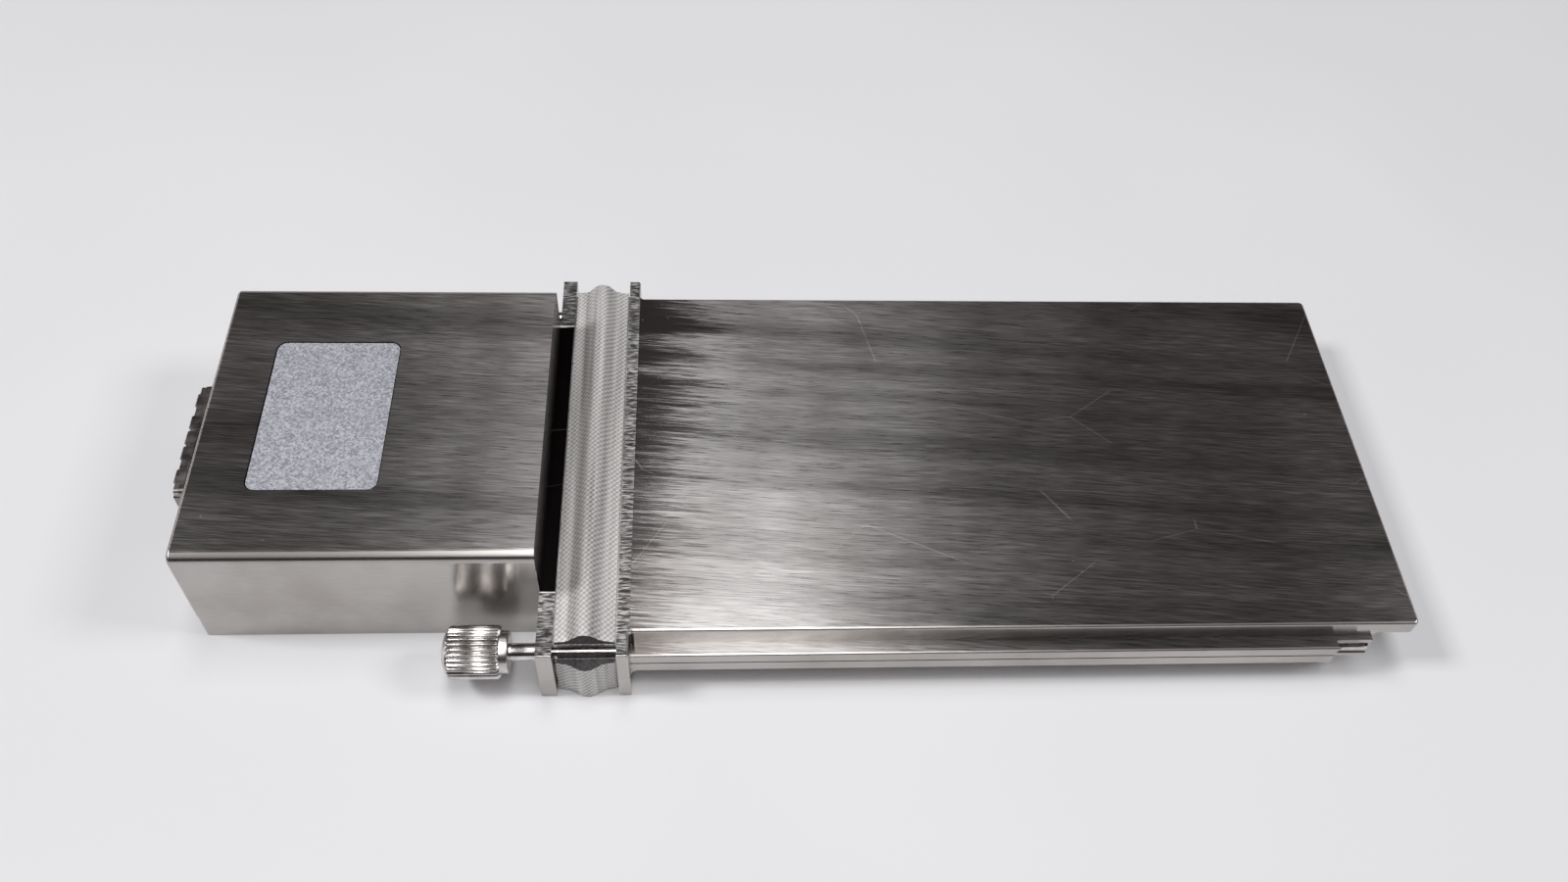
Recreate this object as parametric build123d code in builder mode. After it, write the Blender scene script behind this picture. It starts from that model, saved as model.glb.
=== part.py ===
from build123d import *

import os

# Pluggable optical transceiver module: two metal shells with a raised port box at one end, a row of
# shielding gaskets between two flanges, a captive jackscrew in each side rail, and a plug at the tail.
# Frame: +X runs from the port to the tail, +Y is the far side, +Z is up. The origin is at the centre
# of the footprint, on the surface that the module stands on. All sizes are millimetres.

# Lengths along X, from the port to the tail
port_reach = 5.1            # port collar in front of the box
box_length = 59.5
front_flange = 2.7          # thickness of the flange at the box
gasket_gap = 10.7           # between the two flanges
rear_flange = 2.1           # thickness of the flange at the body
rail_length = 123.8         # full rails, also the length of the lower shell behind the flange
rail_tongue = 6.5           # side walls of the upper shell past the full rails
overhang = 7.3              # top plate past the side walls

# Widths, each side of the middle plane
rail_half = 41.0
flange_lip = 2.1            # flanges outside the rails
ledge_width = 2.6           # rails outside the top plate
rail_overhang = 4.5         # rails outside the keel below them
tongue_inset = 1.7          # rail past its full length
screw_inset = 2.5           # jackscrew axis inside the rail's edge
core_inset = 0.2            # gasket core inside the rail's edge
land_inset = 0.9            # upper gasket land inside the core's edge, so that the rods show
knob_side_gap = 3.4         # finger room between the box and a knob

# Heights
plate_height = 14.0
box_rise = 10.9             # box top above the top plate
overhang_thickness = 3.0
ledge_drop = 4.0            # plate top to the ledge on the rail
rail_height = 4.9
tongue_height = 0.85        # strip of full rail width below the tongue, above the rail's middle
body_lift = 0.4             # the body hangs this far above the box floor
box_split = 6.3             # parting line of the box and the flanges
gasket_rebate = 1.25        # gasket land below the plate top
lower_rebate = 1.2          # gasket land above the box floor
seam = 0.3                  # open seam between the rail halves
cover_step = 0.15           # the lower shell is this much narrower at the box

# Walls and rounding
wall = 2.0
box_edge_radius = 1.8
box_end_radius = 0.6
plate_edge_radius = 0.5
plate_corner_radius = 1.0
rail_edge_radius = 0.45
flange_edge_radius = 0.3
flange_root_radius = 0.9
rail_flare_radius = 1.6
tongue_strip_end = 1.3      # the strip below the tongue stops this far short
tongue_strip = 0.5          # thickness of the strip, outside the bare tip of the rod
step_chamfer = 0.8

# Jackscrews
rod_radius = 1.5
rod_clearance = 0.08
screw_travel = 5.0
knob_radius = 4.6
knob_grip = 8.9             # fluted length
knob_dome = 1.2
knob_collar = 1.4
knob_collar_radius = 3.7
knob_clearance = 0.1        # collar to flange when the screw is pushed home
knob_chamfer = 0.4
flute_count = 30
flute_depth = 0.34
rod_socket = 5.5            # rod inside the knob
rod_chamfer = 0.4
ring_radius = 2.0
ring_sheet = 0.6
ring_fit = 0.05             # ring over the groove floor
ring_play = 0.1             # ring to the pocket, all round and at both ends of the travel
ring_mouth = 2.0            # opening of the C
groove_depth = 0.3
groove_clearance = 0.05

# Gaskets: a low hat profile across the gap
gasket_clearance = 0.15
gasket_edge = 0.8
gasket_shoulder = 0.3       # rise from the edge to the foot of the crest
gasket_crest = 3.15
gasket_foot = 3.0           # middle of the strip to the foot of the crest
gasket_top = 0.8            # half the width of the crest
gasket_fold_radius = 0.5
gasket_overhang = 0.3       # upper gasket past the land at each end
flap_edge = 0.9
flap_crest = 2.5
flap_rise = 1.65            # side flap above the screw axis
flap_bottom = 0.1
pocket_clearance = 0.4      # notch in the core, beside and below the rod
pocket_rise = 3.85          # notch above the screw axis

# Label recess in the box top
recess_length = 22.4
recess_width = 33.5
recess_depth = 0.35
recess_radius = 1.9
recess_inset = 9.8          # from the port face of the box
label_gap = 0.2
label_thickness = 0.2

# Circuit board and its fixings
standoff = 1.0
board_thickness = 1.6
board_gap = 0.6             # board edge to the side walls
board_end_gap = 0.7         # board end to the port wall
board_tail_gap = 2.3        # board end to the tail wall
boss_size = 4.8
board_hole_radius = 1.5
board_corner = 1.0
pilot_radius = 1.3
pilot_depth = 4.5
shell_screw_radius = 1.25
shell_screw_head_radius = 2.35
shell_screw_length = 8.0
shell_screw_recess = 0.1
socket_radius = 0.8
socket_depth = 0.8
boss_side_gap = 1.6         # boss to the side wall
body_boss_columns = 3
body_boss_inset = 12.0      # first column, behind the rear flange
body_boss_tail_inset = 19.8 # last column, before the end of the rails
box_boss_inset = 9.0        # from the port face

# Port
cage_width = 24.0
cage_height = 12.8
cage_sheet = 0.4
cage_radius = 0.6
cage_length = 41.3
port_clearance = 0.6        # cage to the wall round it
spring_sheet = 0.2
hook_reach = 0.15           # straight part of a folded tab in front of the mouth
hook_depth = 1.5            # folded leaf inside the mouth
band_start = 0.9
band_width = 0.8
finger_width = 2.6
finger_pitch = 3.5
finger_rise = 0.5
finger_end_gap = 0.15
outer_finger_y = 8.6
receptacle_length = 12.0
receptacle_side_gap = 1.1
receptacle_top_gap = 0.4
receptacle_back_gap = 0.5
receptacle_chamfer = 0.4
card_slot_width = 17.8
card_slot_height = 1.5
card_slot_depth = 8.0
card_slot_pitch = 4.4
contact_pitch = 0.8
contact_width = 0.4
contact_thickness = 0.15
port_contact_length = 5.5
contact_setback = 1.0       # contacts start this far inside the slot

# Components on the board
retimer_size = 17.0
retimer_height = 2.2
retimer_pitch = 20.0
retimer_inset = 35.0        # behind the rear flange
pad_thickness = 1.0
pad_margin = 1.0            # pads are this much smaller than the chips
controller_size = 12.0
controller_height = 1.6
controller_inset = 75.0
oscillator_length = 5.0
oscillator_width = 3.2
oscillator_height = 1.2
oscillator_inset = 55.0
inductor_size = 7.0
inductor_height = 4.0
inductor_corner = 1.2
inductor_y = 20.0
power_inset = 31.8          # inductors and capacitors, before the end of the rails
capacitor_length = 3.2
capacitor_width = 1.6
capacitor_height = 1.4
capacitor_pitch = 5.0
capacitor_count = 4
capacitor_y = 11.0

# Rear plug
plug_side_gap = 2.5         # plug to the side walls
plug_top_gap = 1.1          # plug to the overhang
plug_drop = 0.4             # plug below the board
plug_reach = 8.7            # behind the lower shell
plug_foot = 7.5             # over the board
plug_shell_sheet = 0.3
plug_opening_gap = 0.1
plug_wall = 1.3
plug_mouth_depth = 6.5
tongue_plate_side_gap = 0.9
tongue_plate_thickness = 1.2
tongue_plate_gap = 1.0      # tongue end to the mouth
plug_contact_length = 4.6
plug_shell_length = 7.5

# Stations along X
overall_length = (port_reach + box_length + front_flange + gasket_gap + rear_flange
                  + rail_length + rail_tongue + overhang)
mouth_x = -overall_length / 2
box_x = mouth_x + port_reach
front_flange_x = box_x + box_length
gap_x = front_flange_x + front_flange
rear_flange_x = gap_x + gasket_gap
seat_x = rear_flange_x + rear_flange
rail_end_x = seat_x + rail_length
wall_end_x = rail_end_x + rail_tongue
tail_x = wall_end_x + overhang
cavity_x = seat_x + wall
cavity_end_x = rail_end_x - wall

# Widths and levels that follow
flange_half = rail_half + flange_lip
plate_half = rail_half - ledge_width
keel_half = rail_half - rail_overhang
tongue_half = rail_half - tongue_inset
strip_half = rail_half - tongue_strip
core_half = rail_half - core_inset
land_half = core_half - land_inset
screw_y = rail_half - screw_inset
box_half = screw_y - knob_radius - knob_side_gap
tunnel_half = box_half - wall
cavity_half = keel_half - wall
box_height = plate_height + box_rise
ledge_z = plate_height - ledge_drop
rail_z = ledge_z - rail_height
screw_z = ledge_z - rail_height / 2
overhang_z = plate_height - overhang_thickness
core_top_z = plate_height - gasket_rebate
tunnel_ceiling_z = core_top_z - wall
cavity_floor_z = body_lift + wall
cavity_ceiling_z = plate_height - wall
box_ceiling_z = box_height - wall
board_z = cavity_floor_z + standoff
board_top_z = board_z + board_thickness
cage_top_z = board_top_z + cage_height
port_z = board_top_z + cage_height / 2
retimer_top_z = board_top_z + retimer_height
pad_top_z = retimer_top_z + pad_thickness

# Port, board and plug
port_clear_half = cage_width / 2 + port_clearance
cage_x = mouth_x + hook_reach + spring_sheet
cage_end_x = cage_x + cage_length
receptacle_width = cage_width - 2 * cage_sheet - 2 * receptacle_side_gap
receptacle_height = cage_height - cage_sheet - receptacle_top_gap
receptacle_x = cage_end_x - cage_sheet - receptacle_back_gap - receptacle_length
port_contact_count = int(card_slot_width / contact_pitch) - 1
board_start_x = box_x + wall + board_end_gap
board_shoulder_x = cavity_x + board_end_gap
board_end_x = cavity_end_x - board_tail_gap
plug_half = cavity_half - plug_side_gap
plug_z = board_z - plug_drop
plug_top_z = overhang_z - plug_top_gap
plug_middle_z = (plug_z + plug_top_z) / 2
plug_end_x = rail_end_x + plug_reach
plug_mouth_x = plug_end_x - plug_mouth_depth
plug_opening_margin = plug_shell_sheet + plug_opening_gap
plug_opening_half = plug_half + plug_opening_margin
tongue_plate_half = plug_half - plug_wall - tongue_plate_side_gap
plug_contact_count = int(2 * tongue_plate_half / contact_pitch)

# Jackscrew stations
knob_length = knob_dome + knob_grip + knob_collar
knob_x = front_flange_x - knob_clearance - screw_travel - knob_length
knob_end_x = knob_x + knob_length
rod_x = knob_end_x - rod_socket
ring_pocket_x = seat_x + wall
ring_pocket_length = ring_sheet + screw_travel + 2 * ring_play
ring_x = ring_pocket_x + ring_play
rod_bore_radius = rod_radius + rod_clearance
pocket_half = screw_y - rod_radius - pocket_clearance
pocket_z = screw_z - rod_radius - pocket_clearance
pocket_top_z = screw_z + pocket_rise
flap_top_z = screw_z + flap_rise
groove_radius = rod_radius - groove_depth

# Places that repeat
body_boss_y = cavity_half - boss_side_gap - boss_size / 2
body_boss_x = seat_x + body_boss_inset
body_boss_pitch = (rail_end_x - body_boss_tail_inset - body_boss_x) / (body_boss_columns - 1)
body_boss_spots = [(body_boss_x + column * body_boss_pitch, side * body_boss_y)
                   for column in range(body_boss_columns) for side in (-1, 1)]
box_boss_y = tunnel_half - boss_side_gap - boss_size / 2
box_boss_spots = [(box_x + box_boss_inset, side * box_boss_y) for side in (-1, 1)]
power_x = rail_end_x - power_inset
retimer_spots = [(seat_x + retimer_inset, row * retimer_pitch) for row in (-1, 0, 1)]
screw_spots = [(side * screw_y, screw_z) for side in (-1, 1)]

os.makedirs("parts", exist_ok=True)


def slab(half_width, low, high):
    """Draws a rectangle that is centred across the module, between two heights."""
    with Locations((0, (low + high) / 2)):
        Rectangle(2 * half_width, high - low)


def strip(start, end, half_width):
    """Draws a rectangle seen from above, between two stations and centred across the module."""
    with Locations(((start + end) / 2, 0)):
        Rectangle(end - start, 2 * half_width)


def flanks(inner, outer, low, high):
    """Draws a pair of rectangles, one on each side, between two distances from the middle."""
    with Locations(*[(side * (inner + outer) / 2, (low + high) / 2) for side in (-1, 1)]):
        Rectangle(outer - inner, high - low)


def at(chosen, axis, place):
    """Keeps the edges whose middle lies at one place along an axis."""
    return chosen.filter_by_position(axis, place - 0.01, place + 0.01)


def on_sides(chosen, half_width):
    """Keeps the edges that lie at one distance from the middle plane, on either side."""
    return chosen.filter_by(lambda edge: abs(abs(edge.center().Y) - half_width) < 0.01)


# Upper housing: port box, flanges, gasket land, top plate and the upper half of the rails
with BuildPart() as upper_housing:
    with BuildSketch(Plane.YZ.offset(box_x)):
        slab(box_half, box_split, box_height)
    extrude(amount=box_length)
    fillet(upper_housing.edges().filter_by(Axis.X).group_by(Axis.Z)[-1], box_edge_radius)
    port_face = upper_housing.faces().sort_by(Axis.X)[0]
    fillet(port_face.edges().filter_by(lambda edge: edge.center().Z > box_split + 0.01), box_end_radius)

    # Top plate and the upper halves of the rails, with an open seam at the outer edge
    with BuildSketch(Plane.YZ.offset(seat_x)):
        slab(plate_half, ledge_z, plate_height)
        slab(rail_half, screw_z + seam / 2, ledge_z)
        slab(screw_y, screw_z, ledge_z)
    extrude(amount=rail_length + rail_tongue)
    with BuildSketch(Plane.YZ.offset(wall_end_x)):
        slab(plate_half, overhang_z, plate_height)
    extrude(amount=overhang)
    step_edges = at(upper_housing.edges().filter_by(Axis.Y), Axis.X, wall_end_x)
    chamfer(at(step_edges, Axis.Z, overhang_z), step_chamfer)
    fillet(at(upper_housing.edges().filter_by(Axis.Z), Axis.X, tail_x), plate_corner_radius)
    ledge_edges = at(upper_housing.edges().filter_by(Axis.X), Axis.Z, ledge_z)
    fillet(on_sides(ledge_edges, rail_half), rail_edge_radius)

    # The two flanges, with the gasket land between them
    for flange_x, thickness in ((front_flange_x, front_flange), (rear_flange_x, rear_flange)):
        with BuildSketch(Plane.YZ.offset(flange_x)):
            slab(flange_half, box_split, plate_height)
        extrude(amount=thickness)
    with BuildSketch(Plane.YZ.offset(gap_x)):
        slab(land_half, pocket_top_z, core_top_z)
        slab(pocket_half, box_split, pocket_top_z)
    extrude(amount=gasket_gap)
    root_edges = at(upper_housing.edges().filter_by(Axis.Z), Axis.X, seat_x)
    fillet(on_sides(root_edges, plate_half), flange_root_radius)
    top_edges = at(upper_housing.edges(), Axis.Z, plate_height)
    fillet(top_edges.filter_by_position(Axis.X, seat_x - 0.01, tail_x), plate_edge_radius)
    flange_edges = at(upper_housing.edges().filter_by(Axis.X), Axis.Z, plate_height)
    fillet(on_sides(flange_edges, flange_half), flange_edge_radius)

    # The tongue past the full rails: narrower above, a short strip of full width below
    tongue_step_z = screw_z + tongue_height
    with BuildSketch(Plane.YZ.offset(rail_end_x)):
        flanks(tongue_half, rail_half, tongue_step_z, ledge_z)
        flanks(tongue_half, strip_half, screw_z, tongue_step_z)
    extrude(amount=rail_tongue, mode=Mode.SUBTRACT)
    with BuildSketch(Plane.YZ.offset(wall_end_x)):
        flanks(tongue_half, rail_half, screw_z, tongue_step_z)
    extrude(amount=-tongue_strip_end, mode=Mode.SUBTRACT)

    # Inside: box, passage through the flanges, body cavity and the way out for the plug
    with BuildSketch(Plane.YZ.offset(box_x + wall)):
        slab(tunnel_half, box_split, box_ceiling_z)
    extrude(amount=box_length - 2 * wall, mode=Mode.SUBTRACT)
    with BuildSketch(Plane.YZ.offset(front_flange_x - wall)):
        slab(tunnel_half, box_split, tunnel_ceiling_z)
    extrude(amount=cavity_x - front_flange_x + wall, mode=Mode.SUBTRACT)
    with BuildSketch(Plane.YZ.offset(cavity_x)):
        slab(cavity_half, screw_z, cavity_ceiling_z)
    extrude(amount=cavity_end_x - cavity_x, mode=Mode.SUBTRACT)
    with BuildSketch(Plane.YZ.offset(cavity_end_x)):
        slab(plug_opening_half, screw_z, plug_top_z + plug_opening_margin)
    extrude(amount=wall_end_x - cavity_end_x, mode=Mode.SUBTRACT)
    with BuildSketch(Plane.YZ.offset(box_x)):
        slab(port_clear_half, box_split, cage_top_z + port_clearance)
    extrude(amount=wall, mode=Mode.SUBTRACT)

    # Bosses down to the board, and pedestals down to the thermal pads
    with BuildSketch(Plane.XY.offset(cavity_ceiling_z)):
        with Locations(*body_boss_spots):
            Rectangle(boss_size, boss_size)
    extrude(amount=board_top_z - cavity_ceiling_z)
    with BuildSketch(Plane.XY.offset(box_ceiling_z)):
        with Locations(*box_boss_spots):
            Rectangle(boss_size, boss_size)
    extrude(amount=board_top_z - box_ceiling_z)
    with BuildSketch(Plane.XY.offset(board_top_z)):
        with Locations(*body_boss_spots, *box_boss_spots):
            Circle(pilot_radius)
    extrude(amount=pilot_depth, mode=Mode.SUBTRACT)
    with BuildSketch(Plane.XY.offset(cavity_ceiling_z)):
        with Locations(*retimer_spots):
            Rectangle(retimer_size, retimer_size)
    extrude(amount=pad_top_z - cavity_ceiling_z)

    # Screw bores, with a pocket for each snap ring, and the label recess
    with BuildSketch(Plane.YZ.offset(front_flange_x)):
        with Locations(*screw_spots):
            Circle(rod_bore_radius)
    extrude(amount=wall_end_x - front_flange_x, mode=Mode.SUBTRACT)
    with BuildSketch(Plane.YZ.offset(ring_pocket_x)):
        with Locations(*screw_spots):
            Circle(ring_radius + ring_play)
    extrude(amount=ring_pocket_length, mode=Mode.SUBTRACT)
    recess_x = box_x + recess_inset + recess_length / 2
    with BuildSketch(Plane.XY.offset(box_height)):
        with Locations((recess_x, 0)):
            RectangleRounded(recess_length, recess_width, recess_radius)
    extrude(amount=-recess_depth, mode=Mode.SUBTRACT)
upper_housing.part.label = "upper_housing"
export_step(upper_housing.part, "parts/upper_housing.step")

# Lower housing: floor of the box, lower halves of the flanges, and the keel with the lower rails
with BuildPart() as lower_housing:
    with BuildSketch(Plane.YZ.offset(box_x)):
        slab(box_half - cover_step, 0, box_split)
    extrude(amount=box_length)
    lower_port_face = lower_housing.faces().sort_by(Axis.X)[0]
    fillet(lower_port_face.edges().filter_by(Axis.Z), box_end_radius)
    with BuildSketch(Plane.YZ.offset(seat_x)):
        slab(keel_half, body_lift, rail_z)
        slab(rail_half, rail_z, screw_z - seam / 2)
        slab(screw_y, rail_z, screw_z)
    extrude(amount=rail_length)
    for flange_x, thickness in ((front_flange_x, front_flange), (rear_flange_x, rear_flange)):
        with BuildSketch(Plane.YZ.offset(flange_x)):
            slab(flange_half, 0, box_split)
        extrude(amount=thickness)
    with BuildSketch(Plane.YZ.offset(gap_x)):
        slab(core_half, lower_rebate, pocket_z)
        slab(pocket_half, pocket_z, box_split)
    extrude(amount=gasket_gap)
    flange_edges = lower_housing.edges().filter_by(Axis.X)
    fillet(on_sides(at(flange_edges, Axis.Z, 0), flange_half), flange_edge_radius)
    flare_edges = at(at(lower_housing.edges().filter_by(Axis.Y), Axis.X, seat_x), Axis.Z, rail_z)
    fillet(flare_edges, rail_flare_radius)

    # Inside: one floor for the box, the passage and the body, and the way out for the plug
    with BuildSketch(Plane.XY.offset(cavity_floor_z)):
        strip(box_x + wall, cavity_x, tunnel_half)
    extrude(amount=box_split - cavity_floor_z, mode=Mode.SUBTRACT)
    with BuildSketch(Plane.XY.offset(cavity_floor_z)):
        strip(seat_x, cavity_x, tunnel_half)
        strip(cavity_x, cavity_end_x, cavity_half)
    extrude(amount=screw_z - cavity_floor_z, mode=Mode.SUBTRACT)
    with BuildSketch(Plane.YZ.offset(cavity_end_x)):
        slab(plug_opening_half, plug_z - plug_opening_margin, screw_z)
    extrude(amount=wall, mode=Mode.SUBTRACT)
    with BuildSketch(Plane.YZ.offset(box_x)):
        slab(port_clear_half, board_top_z - port_clearance, box_split)
    extrude(amount=wall, mode=Mode.SUBTRACT)

    # Bosses under the board, with countersunk holes from below
    with BuildSketch(Plane.XY.offset(cavity_floor_z)):
        with Locations(*body_boss_spots, *box_boss_spots):
            Rectangle(boss_size, boss_size)
    extrude(amount=standoff)
    body_holes = [Plane(origin=(x, y, body_lift), z_dir=(0, 0, -1)) for x, y in body_boss_spots]
    box_holes = [Plane(origin=(x, y, 0), z_dir=(0, 0, -1)) for x, y in box_boss_spots]
    with Locations(*body_holes, *box_holes):
        CounterSinkHole(
            radius=shell_screw_radius + shell_screw_recess,
            counter_sink_radius=shell_screw_head_radius + shell_screw_recess,
            counter_sink_angle=90,
        )

    # Lower halves of the screw bores and the ring pockets
    with BuildSketch(Plane.YZ.offset(front_flange_x)):
        with Locations(*screw_spots):
            Circle(rod_bore_radius)
    extrude(amount=rail_end_x - front_flange_x, mode=Mode.SUBTRACT)
    with BuildSketch(Plane.YZ.offset(ring_pocket_x)):
        with Locations(*screw_spots):
            Circle(ring_radius + ring_play)
    extrude(amount=ring_pocket_length, mode=Mode.SUBTRACT)
lower_housing.part.label = "lower_housing"
export_step(lower_housing.part, "parts/lower_housing.step")

# Countersunk screws that hold the shells together, driven from below
with BuildPart() as shell_screw:
    head_depth = shell_screw_head_radius - shell_screw_radius
    with BuildSketch(Plane.XZ):
        with BuildLine():
            Polyline(
                (0, 0),
                (shell_screw_head_radius, 0),
                (shell_screw_radius, head_depth),
                (shell_screw_radius, shell_screw_length),
                (0, shell_screw_length),
                close=True,
            )
        make_face()
    revolve(axis=Axis.Z)
    with BuildSketch(Plane.XY):
        RegularPolygon(socket_radius, 6)
    extrude(amount=socket_depth, mode=Mode.SUBTRACT)
with BuildPart() as shell_screws:
    with Locations(*[(x, y, body_lift + shell_screw_recess) for x, y in body_boss_spots]):
        add(shell_screw.part)
    with Locations(*[(x, y, shell_screw_recess) for x, y in box_boss_spots]):
        add(shell_screw.part)
shell_screws.part.label = "shell_screws"
export_step(shell_screws.part, "parts/shell_screws.step")

# Gaskets: fabric over foam with a folded crest, one over the gap and one round the sides and bottom
gasket_x = gap_x + gasket_clearance
gasket_end_x = rear_flange_x - gasket_clearance
gasket_middle_x = (gasket_x + gasket_end_x) / 2


def hat(base, edge, crest):
    """Draws the cross-section of a gasket: thin edges and a crest, rising from a base line."""
    outline = [
        (gasket_x, 0),
        (gasket_x, edge),
        (gasket_middle_x - gasket_foot, edge + gasket_shoulder),
        (gasket_middle_x - gasket_top, crest),
        (gasket_middle_x + gasket_top, crest),
        (gasket_middle_x + gasket_foot, edge + gasket_shoulder),
        (gasket_end_x, edge),
        (gasket_end_x, 0),
    ]
    with Locations((0, base)):
        Polygon(*outline, align=None)


def fold_corners(sketch, level):
    """Picks the corners of a gasket's cross-section that lie above a level."""
    return sketch.vertices().filter_by(lambda corner: corner.Y > level)


with BuildPart() as upper_gasket:
    with BuildSketch(Plane.XZ) as upper_profile:
        hat(core_top_z, gasket_edge, gasket_crest)
        fillet(fold_corners(upper_profile, core_top_z + gasket_edge + 0.01), gasket_fold_radius)
    extrude(amount=land_half + gasket_overhang, both=True)
upper_gasket.part.label = "upper_gasket"
export_step(upper_gasket.part, "parts/upper_gasket.step")

with BuildPart() as lower_gasket:
    with BuildSketch(Plane.XY.offset(flap_bottom)) as flap_profile:
        hat(core_half, flap_edge, flap_crest)
        fillet(fold_corners(flap_profile, core_half + flap_edge + 0.01), gasket_fold_radius)
        mirror(about=Plane.XZ)
    extrude(amount=flap_top_z - flap_bottom)
    with BuildSketch(Plane.XY.offset(flap_bottom)):
        strip(gasket_x, gasket_end_x, core_half)
    extrude(amount=lower_rebate - flap_bottom)
lower_gasket.part.label = "lower_gasket"
export_step(lower_gasket.part, "parts/lower_gasket.step")

# Jackscrews: a fluted knob on a long rod, kept in its rail by a snap ring in a groove
for side, side_name in ((-1, "near"), (1, "far")):
    screw_axis = Axis((0, side * screw_y, screw_z), (1, 0, 0))
    screw_plane = Plane(origin=(0, side * screw_y, screw_z), x_dir=(1, 0, 0), z_dir=(0, -1, 0))
    grip_x = knob_x + knob_dome
    collar_x = grip_x + knob_grip
    dome_radius = knob_radius - knob_chamfer

    with BuildPart() as screw_knob:
        with BuildSketch(screw_plane):
            with BuildLine():
                TangentArc((knob_x, 0), (grip_x, dome_radius), tangent=(0, 1))
                Polyline(
                    (grip_x, dome_radius),
                    (grip_x + knob_chamfer, knob_radius),
                    (collar_x - knob_chamfer, knob_radius),
                    (collar_x, dome_radius),
                    (collar_x, knob_collar_radius),
                    (knob_end_x, knob_collar_radius),
                    (knob_end_x, rod_radius),
                    (rod_x, rod_radius),
                    (rod_x, 0),
                    (knob_x, 0),
                )
            make_face()
        revolve(axis=screw_axis)
        with BuildSketch(Plane.YZ.offset(grip_x)):
            with Locations((side * screw_y, screw_z)):
                with PolarLocations(knob_radius, flute_count):
                    RegularPolygon(flute_depth, 4)
        extrude(amount=knob_grip, mode=Mode.SUBTRACT)
    screw_knob.part.label = f"{side_name}_screw_knob"
    export_step(screw_knob.part, f"parts/{side_name}_screw_knob.step")

    groove_x = ring_x - groove_clearance
    groove_end_x = ring_x + ring_sheet + groove_clearance
    with BuildPart() as screw_rod:
        with BuildSketch(screw_plane):
            with BuildLine():
                Polyline(
                    (rod_x, 0),
                    (rod_x, rod_radius),
                    (groove_x, rod_radius),
                    (groove_x, groove_radius),
                    (groove_end_x, groove_radius),
                    (groove_end_x, rod_radius),
                    (wall_end_x - rod_chamfer, rod_radius),
                    (wall_end_x, rod_radius - rod_chamfer),
                    (wall_end_x, 0),
                    close=True,
                )
            make_face()
        revolve(axis=screw_axis)
    screw_rod.part.label = f"{side_name}_screw_rod"
    export_step(screw_rod.part, f"parts/{side_name}_screw_rod.step")

    with BuildPart() as snap_ring:
        with BuildSketch(Plane.YZ.offset(ring_x)):
            with Locations((side * screw_y, screw_z)):
                Circle(ring_radius)
                Circle(groove_radius + ring_fit, mode=Mode.SUBTRACT)
            with Locations((side * screw_y, screw_z + ring_radius)):
                Rectangle(ring_mouth, 2 * ring_radius, mode=Mode.SUBTRACT)
        extrude(amount=ring_sheet)
    snap_ring.part.label = f"{side_name}_snap_ring"
    export_step(snap_ring.part, f"parts/{side_name}_snap_ring.step")

# Label plate, bare, lying in the recess
with BuildPart() as label_plate:
    with BuildSketch(Plane.XY.offset(box_height - recess_depth)):
        with Locations((recess_x, 0)):
            RectangleRounded(
                recess_length - 2 * label_gap,
                recess_width - 2 * label_gap,
                recess_radius - label_gap,
            )
    extrude(amount=label_thickness)
label_plate.part.label = "label_plate"
export_step(label_plate.part, "parts/label_plate.step")

# Port cage: a folded sheet-metal tunnel that stands on the board, open below the receptacle
with BuildPart() as port_cage:
    with BuildSketch(Plane.YZ.offset(cage_x)):
        with Locations((0, port_z)):
            RectangleRounded(cage_width, cage_height, cage_radius)
            RectangleRounded(
                cage_width - 2 * cage_sheet,
                cage_height - 2 * cage_sheet,
                cage_radius - cage_sheet / 2,
                mode=Mode.SUBTRACT,
            )
    extrude(amount=cage_length)
    with BuildSketch(Plane.YZ.offset(cage_end_x)):
        with Locations((0, port_z)):
            RectangleRounded(cage_width, cage_height, cage_radius)
    extrude(amount=-cage_sheet)
    with BuildSketch(Plane.XY.offset(board_top_z)):
        strip(receptacle_x, receptacle_x + receptacle_length, receptacle_width / 2)
    extrude(amount=cage_sheet, mode=Mode.SUBTRACT)
port_cage.part.label = "port_cage"
export_step(port_cage.part, "parts/port_cage.step")

# Shielding collar: a band round the mouth with arched fingers and tabs folded over the edge
finger_x = band_start + band_width
finger_end_x = box_x - cage_x - finger_end_gap
finger_run = (finger_end_x - finger_x) / 3
leaf_z = -cage_sheet - spring_sheet
finger_outline = [
    (finger_x, 0),
    (finger_x + finger_run, finger_rise),
    (finger_end_x - finger_run, finger_rise),
    (finger_end_x, 0),
    (finger_end_x, spring_sheet),
    (finger_end_x - finger_run, finger_rise + spring_sheet),
    (finger_x + finger_run, finger_rise + spring_sheet),
    (finger_x, spring_sheet),
    (-hook_reach, spring_sheet),
    (-hook_reach - spring_sheet, 0),
    (-hook_reach - spring_sheet, -cage_sheet),
    (-hook_reach, leaf_z),
    (hook_depth, leaf_z),
    (hook_depth, -cage_sheet),
    (-hook_reach, -cage_sheet),
    (-hook_reach, 0),
]
with BuildPart() as spring_finger:
    with BuildSketch(Plane.XZ):
        Polygon(*finger_outline, align=None)
    extrude(amount=finger_width / 2, both=True)

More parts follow.
